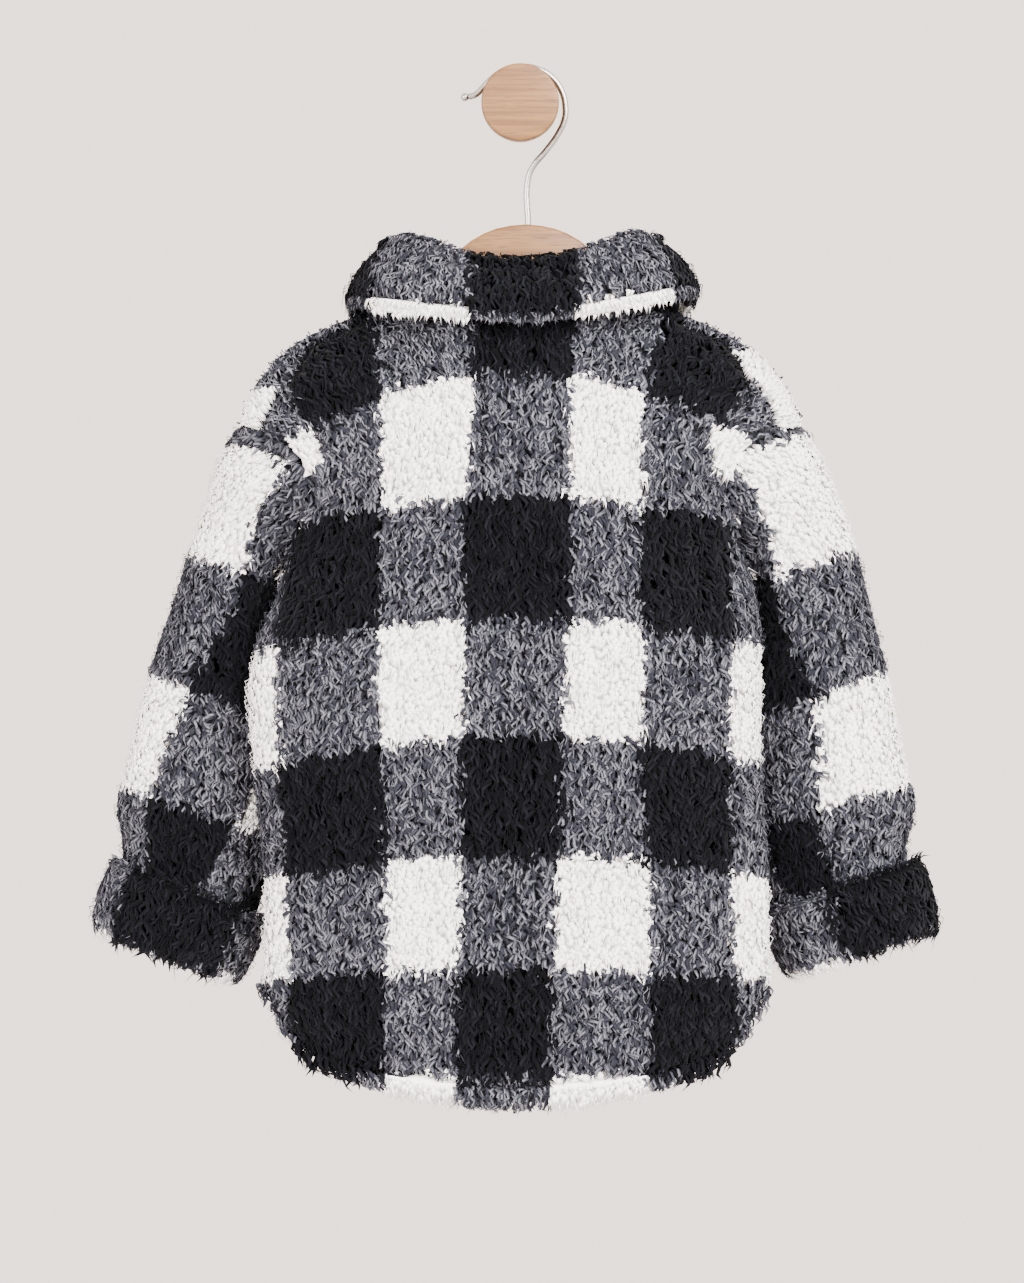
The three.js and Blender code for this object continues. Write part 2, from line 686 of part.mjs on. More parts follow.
// The wooden body, under the inside of the shoulders' cloth.
function hangerSolid() {
  const armTop = (x) => {
    const slope = along(shoulderPoints, "x", "z", x + 1) - along(shoulderPoints, "x", "z", x - 1);
    const steep = Math.hypot(1, slope / 2);
    const seat = hangerSeat + hangerNeckSeat * (1 - smooth(64, 96, x));
    return along(shoulderPoints, "x", "z", x) - (clothThick + seat) * steep;
  };
  const halfOutline = (sideSign) => {
    const points = hangerHump.map(({ x, z }) => new THREE.Vector2(humpShift + sideSign * x, z));
    const place = (x, z) => points.push(new THREE.Vector2(sideSign * x, z));
    for (const x of [64, 74, 84, 94, 104, 114, 124, 131]) place(x, armTop(x));
    place(hangerArmReach, armTop(hangerArmReach) - 2);
    place(hangerArmReach + 1, armTop(hangerArmReach) - 9);
    place(hangerArmReach - 5, armTop(hangerArmReach - 5) - hangerArmTall + 1);
    for (const x of [114, 94, 74]) place(x, armTop(x) - hangerArmTall);
    for (const { x, z } of hangerUnderside) place(x, z);
    return points;
  };
  const left = halfOutline(-1).slice(1).reverse();
  const shape = new THREE.Shape([...halfOutline(1), new THREE.Vector2(0, hangerMiddleZ), ...left]);
  const geometry = new THREE.ExtrudeGeometry(shape, {
    depth: hangerThick - 2 * hangerBevel,
    bevelEnabled: true,
    bevelThickness: hangerBevel,
    bevelSize: hangerBevel,
    bevelOffset: -hangerBevel,
    bevelSegments: 2,
  });
  geometry.rotateX(Math.PI / 2);
  return geometry.translate(0, shoulderPlaneY + hangerThick / 2 - hangerBevel, 0);
}

// Assembly

const jacket = new THREE.Group();

function add(name, geometry, colour, roughness, metalness) {
  const material = new THREE.MeshStandardMaterial({ color: colour, roughness, metalness });
  const mesh = new THREE.Mesh(geometry, material);
  mesh.name = name;
  jacket.add(mesh);
}

const right = Math.PI / 2;
const back = bodyGrids(-1, -right, right, backColumns);
const frontLeft = bodyGrids(1, -right, 0, frontColumns);
const frontRight = bodyGrids(1, 0, right, frontColumns);
const fleece = "#77757c";

add("back", clothWall(back.outer, back.inner, false), fleece, 0.95, 0);
add("front_left", clothWall(frontLeft.outer, frontLeft.inner, false), fleece, 0.95, 0);
add("front_right", clothWall(frontRight.outer, frontRight.inner, false), fleece, 0.95, 0);
add("placket", placketWall(), fleece, 0.95, 0);

for (const [name, sideSign, front] of [["left", -1, frontLeft], ["right", 1, frontRight]]) {
  const isRight = sideSign > 0;
  const outerRing = armholeRing(back.outer, front.outer, back.armRow, isRight);
  const innerRing = armholeRing(back.inner, front.inner, back.armRow, isRight);
  add("sleeve_" + name, sleeveWall(sideSign, outerRing, innerRing), fleece, 0.95, 0);
  add("cuff_" + name, cuffWall(sideSign, outerRing.length), fleece, 0.95, 0);
}

add("collar", collarWall(), fleece, 0.95, 0);
buttonHeights.forEach((z, i) => add("button_" + (i + 1), buttonSolid(z), "#26262b", 0.4, 0));
add("hanger_body", hangerSolid(), "#dfbf98", 0.6, 0);
add("hanger_hook", wireSolid(), "#b9b5b0", 0.3, 1);
add("peg", pegSolid(), "#dcbd98", 0.6, 0);

export default jacket;
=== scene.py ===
import bpy
import math
import numpy as np
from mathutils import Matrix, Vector


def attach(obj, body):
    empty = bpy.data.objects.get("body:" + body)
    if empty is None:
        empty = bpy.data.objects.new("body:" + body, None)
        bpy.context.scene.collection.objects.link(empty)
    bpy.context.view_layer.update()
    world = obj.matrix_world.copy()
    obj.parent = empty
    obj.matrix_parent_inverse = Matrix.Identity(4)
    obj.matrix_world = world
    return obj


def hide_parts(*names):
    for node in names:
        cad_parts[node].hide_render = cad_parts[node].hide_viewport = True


# A child's checked pile fleece jacket on a wooden hanger and wall peg, seen from its back.
# The shape tables are in millimetres, in the frame's own axes, and meshes are made in metres.
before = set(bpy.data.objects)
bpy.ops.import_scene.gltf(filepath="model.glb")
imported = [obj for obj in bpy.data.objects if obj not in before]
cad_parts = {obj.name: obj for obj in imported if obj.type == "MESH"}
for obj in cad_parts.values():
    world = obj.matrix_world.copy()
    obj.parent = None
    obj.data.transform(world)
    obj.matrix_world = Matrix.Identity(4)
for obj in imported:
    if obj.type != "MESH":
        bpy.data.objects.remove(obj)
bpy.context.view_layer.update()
print("frame loaded")

cloth = {
    "backing": 1.6,     # the knitted cloth under the pile
    "pile": 3.9,        # from the backing's face to the solid's outside
    "whiteShare": 0.45,  # of that depth under the white squares, whose locks lie flat
}


def smoothStep(low, high, value):
    t = np.clip((np.asarray(value, float) - low) / (high - low), 0, 1)
    return t * t * (3 - 2 * t)


def alongTable(table, key, column, at):
    keys = np.asarray(table[key], float)
    values = np.asarray(table[column], float)
    if keys[0] > keys[-1]:
        keys, values = keys[::-1], values[::-1]
    rises, runs = [padded[2:] - padded[:-2]
                   for padded in (np.pad(values, 1, "edge"), np.pad(keys, 1, "edge"))]
    slope = rises / runs
    at = np.asarray(at, float)
    i = np.clip(np.searchsorted(keys, at, side="right") - 1, 0, len(keys) - 2)
    span = keys[i + 1] - keys[i]
    t = np.clip((at - keys[i]) / span, 0, 1)
    straight = values[i] * (1 + 2 * t) * (1 - t) ** 2 + values[i + 1] * t * t * (3 - 2 * t)
    bend = slope[i] * t * (1 - t) ** 2 - slope[i + 1] * t * t * (1 - t)
    return straight + bend * span


def normalised(vectors):
    return vectors / np.maximum(np.linalg.norm(vectors, axis=-1, keepdims=True), 1e-9)


waves = {"count": 7, "shortest": 0.6, "longest": 1.9, "height": 3.2}


def softNoise(seed, x, y, size):
    rng = np.random.default_rng(seed)
    total = np.zeros(np.broadcast(x, y).shape)
    for wave in range(waves["count"]):
        turn = rng.uniform(0, 2 * math.pi)
        pace = 2 * math.pi / (size * rng.uniform(waves["shortest"], waves["longest"]))
        total += np.sin((x * math.cos(turn) + y * math.sin(turn)) * pace + rng.uniform(0, 6.28))
    return total / waves["height"]


def sideName(sideSign):
    return "left" if sideSign < 0 else "right"


# Body panels: the same named sizes as the solids
body = {
    "z": [-556, -520, -490, -430, -375, -327, -300, -275, -262],
    "left": [128, 138, 142, 141, 146, 150, 145, 135, 131],
    "right": [126, 133, 137, 137, 133, 133, 133, 130, 127],
    "back": [-94, -98, -102, -107, -112, -115, -117, -118, -118],
    "side": [-62, -66, -70, -74, -77, -78, -74, -68, -64],
    "front": [-20, -18, -16, -15, -14, -14, -14, -14, -14],
    "underarm": -262,
    "panelDrop": 290,       # a panel's height from its hem to the underarm
    "hemMiddle": -555.5,
    "hemHalfWidth": 138,
    "hemRise": 16,          # hem height gained 100 mm out from the middle
    "cornerFrom": 0.8,      # the share of the half width where the hem's corner starts
    "cornerWide": 0.2,
    "cornerRise": 31,
    "cornerPower": 2.4,
    "armholeLean": 2,       # the left armhole stands this much further out, the right less
    "shoulderPlane": -58,
    "shoulderRound": 0.6,
    "neckHalfWidth": 62,
    "neckDepth": 38,
}
panels = {
    "back": {"fullness": 2.4, "hemLift": 0, "chest": 54, "deep": 60, "edge": 36, "neckDrop": 0},
    "front": {"fullness": 1.8, "hemLift": 8, "chest": 50, "deep": 44, "edge": 33, "neckDrop": 43},
}
armhole = {
    "step": [0, 1, 2, 3, 4, 5],
    "x": [129, 121, 116, 126, 142, 156],
    "z": [-262, -232, -208, -190, -182, -178],
}
shoulder = {
    "x": [0, 40, 62, 94, 121, 135, 146, 153, 156],
    "z": [-112, -108, -107, -119, -131, -142, -156, -169, -178],
}
bodyFolds = {
    "x": [-22, -104, 104, -108, 60, 0, -64, 62],
    "z": [-158, -248, -246, -330, -300, -440, -500, -500],
    "wide": [9, 26, 26, 24, 60, 26, 30, 30],
    "tall": [34, 34, 34, 60, 80, 90, 70, 70],
    "depth": [-3, -4, -4, 3, 2, -3, 3, 3],
}


# away is -1 for the back and 1 for the front; the angle runs from one side seam to the other,
# and the level from 0 at the hem and 1 at the underarm to 2 on the shoulder
def bodyPoints(away, angle, level):
    angle, level = np.broadcast_arrays(np.asarray(angle, float), np.asarray(level, float))
    side = "back" if away < 0 else "front"
    panel = panels[side]
    power = 2 / panel["fullness"]
    across = np.sign(angle) * np.abs(np.sin(angle)) ** power
    deep = np.maximum(np.cos(angle), 0) ** power
    out = np.abs(across)
    corner = np.maximum((out - body["cornerFrom"]) / body["cornerWide"], 0)
    lift = body["hemRise"] * (out * (body["hemHalfWidth"] / 100)) ** 2
    hem = body["hemMiddle"] + panel["hemLift"] + lift
    hem = hem + body["cornerRise"] * corner ** body["cornerPower"]
    lowerZ = hem + (body["underarm"] - hem) * np.minimum(level, 1)
    left, right, seam, middle = [alongTable(body, "z", column, lowerZ)
                                 for column in ("left", "right", "side", side)]
    width = np.where(angle < 0, left, right)
    lower = np.stack([across * width, seam + (middle - seam) * deep, lowerZ], axis=-1)
    rise = np.clip(level - 1, 0, 1)
    edgeX, edgeZ = [alongTable(armhole, "step", column, rise * 5) for column in ("x", "z")]
    lean = body["armholeLean"]
    spread = np.where(angle < 0, lean, -lean) * (1 - smoothStep(0, 0.5, rise))
    topX = out * shoulder["x"][-1]
    topZ = alongTable(shoulder, "x", "z", topX)
    neckShare = np.sqrt(np.maximum(1 - (topX / body["neckHalfWidth"]) ** 2, 0))
    drop = panel["neckDrop"] * neckShare
    upperZ = edgeZ + (topZ - drop - shoulder["z"][-1]) * rise * rise
    seamLow = body["side"][-1]
    upperSeam = seamLow + (body["shoulderPlane"] - seamLow) * smoothStep(0, 1, rise)
    full = panel["chest"] + (panel["deep"] - panel["chest"]) * smoothStep(0, 0.5, rise)
    edgeDepth = panel["edge"] * smoothStep(-0.02, 0.4, rise)
    flat = deep + (1 - across * across - deep) * smoothStep(0, 0.4, rise)
    plain = edgeDepth + (full - edgeDepth) * flat
    near = np.minimum((1 - rise) / body["shoulderRound"], 1)
    rounded = np.sqrt(np.maximum(1 - (1 - near) ** 2, 0))
    neck = body["neckDepth"] * neckShare
    depth = neck + (plain - neck) * rounded
    upper = np.stack([across * (edgeX + spread), upperSeam + away * depth, upperZ], axis=-1)
    return np.where((level <= 1)[..., None], lower, upper)


# Checks are counted in halves of a repeat, and those from a whole number up to its half are dark.
# These are the body's: six upright edges, told by height, then the rows and how they droop
backCheck = {
    "z": [-505, -445, -380, -315, -265, -250, -229, -211, -203, -190, -180, -165, -150, -119],
    "edges": [
        [-131, -132, -133.7, -136.4, -137, -135, -130, -124, -112, -111, -118, -129, -138, -140],
        [-75.4, -74.2, -75.4, -79, -78.5, -78.3, -78, -77.8, -77.6, -77.4, -77.2, -78, -80, -91],
        [-35.5, -33, -32, -31, -31, -31, -30, -29, -28.5, -27.5, -27, -26.2, -25.5, -25],
        [16.5, 19.5, 23, 25.3, 27, 28, 27.6, 27.2, 27, 26.7, 26.5, 27.5, 29, 30],
        [73, 72, 68, 67, 66.4, 66, 66.6, 67.6, 67.8, 67.5, 67.5, 68, 73, 85],
        [124, 118, 116, 117.5, 120, 121, 123, 120, 108, 106, 108, 124.5, 138, 140],
    ],
    "beyond": 56,       # the width of the columns past the outer edges
    "rowZ": [-595, -536.5, -479, -415.5, -350.5, -285, -219, -149.5, -80, -20],
    "rowHalf": [-7, -6, -5, -4, -3, -2, -1, 0, 1, 2],
    "droopZ": [-560, -536, -479, -415, -350, -285, -219, -205, -190, -176, -149.5, -100],
    "droop": [1.5, 2, 5, 8.5, 12.5, 10, 13, 22, 27.5, 26.5, 28, 36],
    "droopOut": 110,    # how far out from the middle the rows droop as much as that
    "roundSide": 0.012,     # how fast the columns go on where the cloth turns away
}
# The sewn line down from each shoulder's top; the cloth outside it is cut with the front
shoulderSeam = {
    "z": [-179, -169.5, -156, -148, -139.6, -134, -129, -121.8],
    "x": [145, 141.8, 133.5, 125, 121.5, 117, 107, 90],
    "leftMixedTo": -157,
    "rightMixedTo": -137,
    "wide": 2.4,
    "slant": 0.75,      # from the distance across to that square to the seam
    "low": -181,
    "high": -119,
    "inner": 88,
    "elsewhere": -50,
}


def pastSeam(points):
    x, z = np.abs(points[..., 0]), points[..., 2]
    past = (x - np.interp(z, shoulderSeam["z"], shoulderSeam["x"])) * shoulderSeam["slant"]
    near = (z > shoulderSeam["low"]) & (z < shoulderSeam["high"]) & (x > shoulderSeam["inner"])
    return np.where(near, past, shoulderSeam["elsewhere"])


# The pile is parted along the shoulder seams, and where it falls open beside the middle column
parting = {
    "x": -20.6,
    "low": -212,
    "high": -136,
    "lowFade": 20,
    "highFade": 16,
    "wide": 2.6,
    "dip": 1.2,
}


def partedAt(points):
    x, z = points[..., 0], points[..., 2]
    seam = np.exp(-(pastSeam(points) / shoulderSeam["wide"]) ** 2)
    low, high = parting["low"], parting["high"]
    starts = smoothStep(low, low + parting["lowFade"], z)
    ends = 1 - smoothStep(high - parting["highFade"], high, z)
    beside = np.exp(-((x - parting["x"]) / parting["wide"]) ** 2)
    return np.maximum(seam, beside * (starts * ends))


def bodyCheck(points, arc, away):
    x, z = points[..., 0], points[..., 2]
    edges = [np.interp(z, backCheck["z"], edge) for edge in backCheck["edges"]]
    half = -2 + np.minimum(x - edges[0], 0) / backCheck["beyond"]
    for near, far in zip(edges, edges[1:]):
        half = half + np.clip((x - near) / (far - near), 0, 1)
    half = half + np.maximum(x - edges[-1], 0) / backCheck["beyond"]
    turned = np.maximum(np.abs(arc) - np.abs(x), 0)
    half = half + backCheck["roundSide"] * np.sign(arc) * turned
    droop = np.interp(z, backCheck["droopZ"], backCheck["droop"]) * (x / backCheck["droopOut"]) ** 2
    row = np.interp(z + droop, backCheck["rowZ"], backCheck["rowHalf"])
    if away < 0:
        dark, light = 0.5, 1.5
        outside = pastSeam(points) > 0
        mixedTo = np.where(x < 0, shoulderSeam["leftMixedTo"], shoulderSeam["rightMixedTo"])
        half = np.where(outside, light, half)
        row = np.where(outside, np.where(z > mixedTo, dark, light), row)
    return np.stack([half / 2, row / 2], axis=-1)


def surfaceOf(points, check, closed, outwards):
    across = np.gradient(points, axis=1)
    if closed:
        across[:, 0] = (points[:, 1] - points[:, -2]) / 2
        across[:, -1] = across[:, 0]
    up = np.gradient(points, axis=0)
    normal = normalised(np.cross(across, up)) * outwards
    area = np.linalg.norm(np.cross(across, up), axis=-1)
    ones = np.ones(area.shape)
    return {"points": points, "normal": normal, "down": normalised(-up), "area": area,
            "check": check, "closed": closed, "step": np.linalg.norm(up, axis=-1),
            "short": ones, "flow": ones}


# Turns the normals so that the one at a spot of the grid looks the way that is told
def face(surface, spot, way):
    surface["normal"] *= np.sign(np.sum(surface["normal"][spot] * way))


def strides(points, axis):
    return np.linalg.norm(np.diff(points, axis=axis), axis=-1)


# How far each point lies along its row from the column that is named
def arcFrom(points, middle):
    arc = np.cumsum(strides(points, 1), axis=1)
    arc = np.concatenate([np.zeros((len(points), 1)), arc], axis=1)
    return arc - arc[:, middle:middle + 1]


# Up from the hem's edge: the grid's rows, the stitched band's relief, and the pile's length
hemBand = {
    "rows": [0, 2, 4, 7, 10, 12, 13.5, 15, 18, 22],
    "reliefAt": [0, 4, 10, 13.5, 17, 18],
    "relief": [-1.4, 1.2, 1.2, -1.8, 0, 0],
    "shortAt": [0, 5, 10, 12.5, 15, 18, 24],
    "short": [0.7, 0.95, 1, 0.5, 0.5, 1, 1],
}


def bodySurface(away, fromAngle, toAngle, columns):
    outwards = -away
    hemRows = np.array(hemBand["rows"]) / body["panelDrop"]
    lowerRows = np.linspace(hemRows[-1], 1, 44)[1:]
    upperRows = 2 - (1 - np.linspace(0, 1, 34)[1:]) ** 1.4
    levels = np.concatenate([hemRows, lowerRows, upperRows])
    heights = levels * body["panelDrop"]
    angles = np.linspace(fromAngle, toAngle, columns + 1)
    evenly = np.ones(len(angles))
    points = bodyPoints(away, angles[None, :], levels[:, None])
    surface = surfaceOf(points, None, False, outwards)
    relief = np.interp(heights, hemBand["reliefAt"], hemBand["relief"])[:, None] * evenly
    if away < 0:
        for x, z, wide, tall, depth in zip(*bodyFolds.values()):
            spot = np.exp(-((points[..., 0] - x) / wide) ** 2 - ((points[..., 2] - z) / tall) ** 2)
            relief += depth * spot * smoothStep(0, 0.12, np.cos(angles))[None, :]
    points = points + surface["normal"] * relief[..., None]
    arc = arcFrom(points, int(np.argmin(np.abs(angles))))
    if away < 0:
        points = points - surface["normal"] * parting["dip"] * partedAt(points)[..., None]
    surface = surfaceOf(points, bodyCheck(points, arc, away), False, outwards)
    surface["checkAt"] = lambda a, b: bodyCheck(readGrid(points, a, b), readGrid(arc, a, b), away)
    if away < 0:
        surface["partedAt"] = lambda a, b: partedAt(readGrid(points, a, b))
    surface["short"] = np.interp(heights, hemBand["shortAt"], hemBand["short"])[:, None] * evenly
    return surface


# Sleeves: outer and inner edges as the camera sees them
sleeve = {
    "at": [0, 0.1, 0.2, 0.34, 0.5, 0.68, 0.78, 0.87, 1],
    "leftOut": [156, 166, 173.5, 187, 205, 218, 223, 220, 230],
    "leftIn": [129, 131, 132, 132, 134, 136, 138, 145, 157.5],
    "rightOut": [156, 167, 177, 189, 203, 213.5, 218.5, 214, 224],
    "rightIn": [129, 129, 128, 127, 128, 129, 131, 138.5, 150.5],
    "outZ": [-178, -203, -229, -268, -314, -364, -390, -416, -450],
    "inZ": [-262, -272, -284, -306, -340, -386, -413, -441, -474],
    "half": [36, 33, 30, 29, 29, 28, 26, 23.4, 22.5],
    "y": [-59, -50, -43, -40, -40, -40, -40, -39, -38],
    "headTo": 0.3,      # the share down the sleeve where the armhole's shape has faded out
    "puff": 3,
    "sidePuff": 7,
    "gap": 0.6,         # from the armhole to the sleeve
    "tilt": math.radians(17),       # the check's rows lie square to the sleeve
    "rowHalf": [-2.0, -1.0, 0.0, 1.0, 2.0, 3.0],
    "leftRows": [170, 228, 294, 363, 429, 495],
    "rightRows": [171, 222, 292, 361, 424, 490],
    # where the outer light column and then the dark one end, in degrees round from the outer edge
    "leftShare": [0, 0.05, 0.12, 0.19, 0.26, 0.33, 0.40, 0.46, 0.52, 0.60, 0.66, 0.72,
                  0.79, 0.84, 0.88, 1],
    "leftLight": [82, 87, 97, 108, 111, 99, 83, 75, 70, 62, 56, 53, 52, 52, 52, 52],
    "leftDark": [165, 170, 178, 188, 190, 180, 166, 160, 155, 148, 140, 127, 116, 106, 96, 92],
    "rightShare": [0, 0.03, 0.05, 0.073, 0.12, 0.166, 0.212, 0.259, 0.30, 0.35, 0.40, 0.444,
                   0.49, 0.60, 0.70, 0.78, 0.90, 1],
    "rightLight": [90, 95, 104, 113, 119, 133, 138, 136, 128, 116, 108, 103, 97, 95, 100,
                   103, 91, 80],
    "rightDark": [172, 177, 186, 195, 201, 215, 220, 218, 210, 198, 190, 185, 179, 177, 178,
                  160, 122, 112],
    "lightFrom": -32,
}


def sleeveForm(sideSign, at, angle):
    def read(column):
        return alongTable(sleeve, "at", column, at)

    def edge(out, height):
        reach = sideSign * read(sideName(sideSign) + out)
        return np.stack(np.broadcast_arrays(reach, read("y"), read(height)), axis=-1)

    outEdge, inEdge = edge("Out", "outZ"), edge("In", "inZ")
    centre = (outEdge + inEdge) / 2
    point = centre + (outEdge - centre) * np.cos(angle)[..., None]
    point[..., 1] -= read("half") * np.sin(angle)
    return point


def sleeveCheck(sideSign, share, around, distance):
    side = sideName(sideSign)
    lightTo, darkTo = [np.interp(share, sleeve[side + "Share"], sleeve[side + key])
                       for key in ("Light", "Dark")]
    around = np.where(around > lightTo + 180, around - 360, around)
    wide = np.where(around < lightTo, lightTo - sleeve["lightFrom"], darkTo - lightTo)
    row = np.interp(distance, sleeve[side + "Rows"], sleeve["rowHalf"])
    return np.stack([(around - lightTo) / wide / 2, row / 2], axis=-1)


# The head starts on the armhole's ring, and puffs out below it
def sleeveSurface(sideSign):
    steps = np.linspace(0, 1, 18)
    edgeAngle = math.pi / 2 * sideSign
    backEdge = bodyPoints(-1, edgeAngle, 1 + steps[::-1])
    frontEdge = bodyPoints(1, edgeAngle, 1 + steps)
    ring = np.concatenate([backEdge[:-1], frontEdge[:-1]])
    count = len(ring)
    angles = 2 * math.pi * np.arange(count) / count
    share = np.concatenate([[0, 0.01, 0.03], np.linspace(0.05, 1, 42)])
    start = ring - sleeveForm(sideSign, np.zeros(count), angles)
    fade = (1 - smoothStep(0, sleeve["headTo"], share)) ** 1.5
    points = sleeveForm(sideSign, *np.broadcast_arrays(share[:, None], angles[None]))
    points = points + start[None] * fade[:, None, None]
    puff = sleeve["puff"] + sleeve["sidePuff"] * np.abs(np.sin(angles))
    below = smoothStep(0, 0.08, share) * (1 - smoothStep(0.2, 0.5, share))
    points[..., 0] += sideSign * puff[None] * below[:, None]
    points[..., 0] += sideSign * sleeve["gap"]
    points = np.concatenate([points, points[:, :1]], axis=1)
    around = np.degrees(np.concatenate([angles, [2 * math.pi]]))
    tilt = sleeve["tilt"]
    distance = sideSign * points[..., 0] * math.sin(tilt) - points[..., 2] * math.cos(tilt)
    # the rows of the grid run down the sleeve, so it is turned to run up
    grids = [grid[::-1] for grid in np.broadcast_arrays(share[:, None], around[None], distance)]
    surface = surfaceOf(points[::-1], sleeveCheck(sideSign, *grids), True, 1)
    surface["checkAt"] = lambda a, b: sleeveCheck(
        sideSign, *[readGrid(grid, a, b) for grid in grids])
    face(surface, (20, 0), [sideSign, 0, 0])
    return surface


cuff = {
    "spot": [0, 1, 2, 3, 4, 5, 6, 7, 8],
    "out": [-6.4, -3.5, 2.5, 5.5, 7.5, 8.6, 8.8, 7, 4.4],
    "up": [4, 0.6, 0, 2.5, 10, 22, 35, 40.5, 38],
    "leftDrop": 11,     # from the sleeve's end down to the fold
    "rightDrop": 9.4,
    "leftTilt": math.radians(21),
    "rightTilt": math.radians(18),
    "leftDark": (math.radians(44), math.radians(134)),
    "rightDark": (math.radians(-8), math.radians(102)),
    "lightBand": 5,     # the light row that shows round the fold
    "rowTall": 56,
    "shortAt": [0, 5, 20, 26, 29],      # the pile is shorter inside the fold and on the upper lip
    "short": [0.7, 1, 1, 0.6, 0.45],
    "wallShare": 0.35,      # how much shorter it is on the side by the wall
}


def cuffCheck(sideSign, angle, row):
    low, high = cuff[sideName(sideSign) + "Dark"]
    fromMiddle = (angle - (low + high) / 2 + math.pi) % (2 * math.pi) - math.pi
    return np.stack([(0.5 + fromMiddle / (high - low)) / 2, row / 2], axis=-1)


def cuffSurface(sideSign):
    end = np.ones(1)
    outEdge = sleeveForm(sideSign, end, np.zeros(1))[0]
    centre = (outEdge + sleeveForm(sideSign, end, np.full(1, math.pi))[0]) / 2
    halfWide = np.linalg.norm(outEdge - centre)
    tilt, drop = [cuff[sideName(sideSign) + key] for key in ("Tilt", "Drop")]
    up = np.array([-sideSign * math.sin(tilt), 0, math.cos(tilt)])
    side = np.array([sideSign * math.cos(tilt), 0, math.sin(tilt)])
    fine = np.linspace(0, cuff["spot"][-1], 30)
    out, height = [alongTable(cuff, "spot", key, fine) for key in ("out", "up")]
    angles = np.linspace(0, 2 * math.pi, 57)
    halfDeep = sleeve["half"][-1]
    points = (centre + side * ((halfWide + out)[:, None] * np.cos(angles)[None])[..., None]
              + up * (height - drop)[:, None, None])
    points[..., 1] -= (halfDeep + out)[:, None] * np.sin(angles)[None]
    step = np.hypot(np.gradient(out), np.gradient(height))
    travel = np.cumsum(step) - np.cumsum(step)[np.argmin(height)]
    row = (travel - cuff["lightBand"]) / cuff["rowTall"]
    grids = np.broadcast_arrays(angles[None], row[:, None])
    surface = surfaceOf(points, cuffCheck(sideSign, *grids), True, 1)
    surface["checkAt"] = lambda a, b: cuffCheck(sideSign, *[readGrid(grid, a, b) for grid in grids])
    face(surface, (25, 0), side)
    lip = np.interp(np.arange(len(fine)), cuff["shortAt"], cuff["short"])
    nearWall = np.maximum(-np.sin(angles), 0)
    surface["short"] = lip[:, None] * (1 - cuff["wallShare"] * nearWall)[None]
    return surface


# Foot, fold and edge, from the middle of the back round to the points at the front
collar = {
    "at": [0, 0.16, 0.32, 0.46, 0.62, 0.8, 1],
    "footX": [0, 26, 48, 58, 53, 34, 6],
    "footY": [-94, -91, -80, -60, -40, -26, -23],
    "footZ": [-110.7, -108.7, -106.2, -104.7, -113.7, -131.7, -146.7],
    "foldX": [0, 30, 58, 70, 64, 42, 9],
    "foldY": [-100, -96, -82, -60, -38, -24, -20],
    "foldZ": [-92, -88, -79.5, -79, -86, -108, -126],
    "edgeX": [0, 37, 77, 93, 88, 72, 46],
    "edgeY": [-121, -119, -103, -66, -24, -9, -6],
    "edgeZ": [-123, -120, -116, -113, -124, -150, -172],
    "foldRadius": 4.6,
    "leafBulge": 3,
    "edgeLift": 6,      # how far the leaf's edge on the right stands above the left's
    "foldLift": 2,
    "rightReach": 3,
    "thick": 6,
    "darkLeft": -28.5,  # the dark column in the middle of the back
    "darkRight": 31.5,
    "light": 63,
    "dark": 60,
    "lightStrip": 8.5,  # the light row along the leaf's edge
    "rowTall": 62,
    "ends": 0.996,      # how near the two ends come to the middle of the front
    "standShares": [0, 0.2, 0.4, 0.6, 0.8, 1],
    "foldTurns": [157, 135, 112, 90, 67, 45, 22],
    "leafShares": [0, 0.1, 0.2, 0.3, 0.4, 0.5, 0.6, 0.68, 0.72, 0.76, 0.8, 0.84, 0.92, 1],
    "grooveRelief": [0.4, -0.8, -2.0, -0.8, 0.4],
    "foldShort": [0.9, 0.75, 0.65, 0.6, 0.6, 0.6, 0.6, 0.6, 0.65, 0.75, 0.85, 0.95],
    "leafShort": [1, 0.5, 0.4, 0.72, 0.66, 0.6, 0.5],
    "pointsShort": 0.35,
}


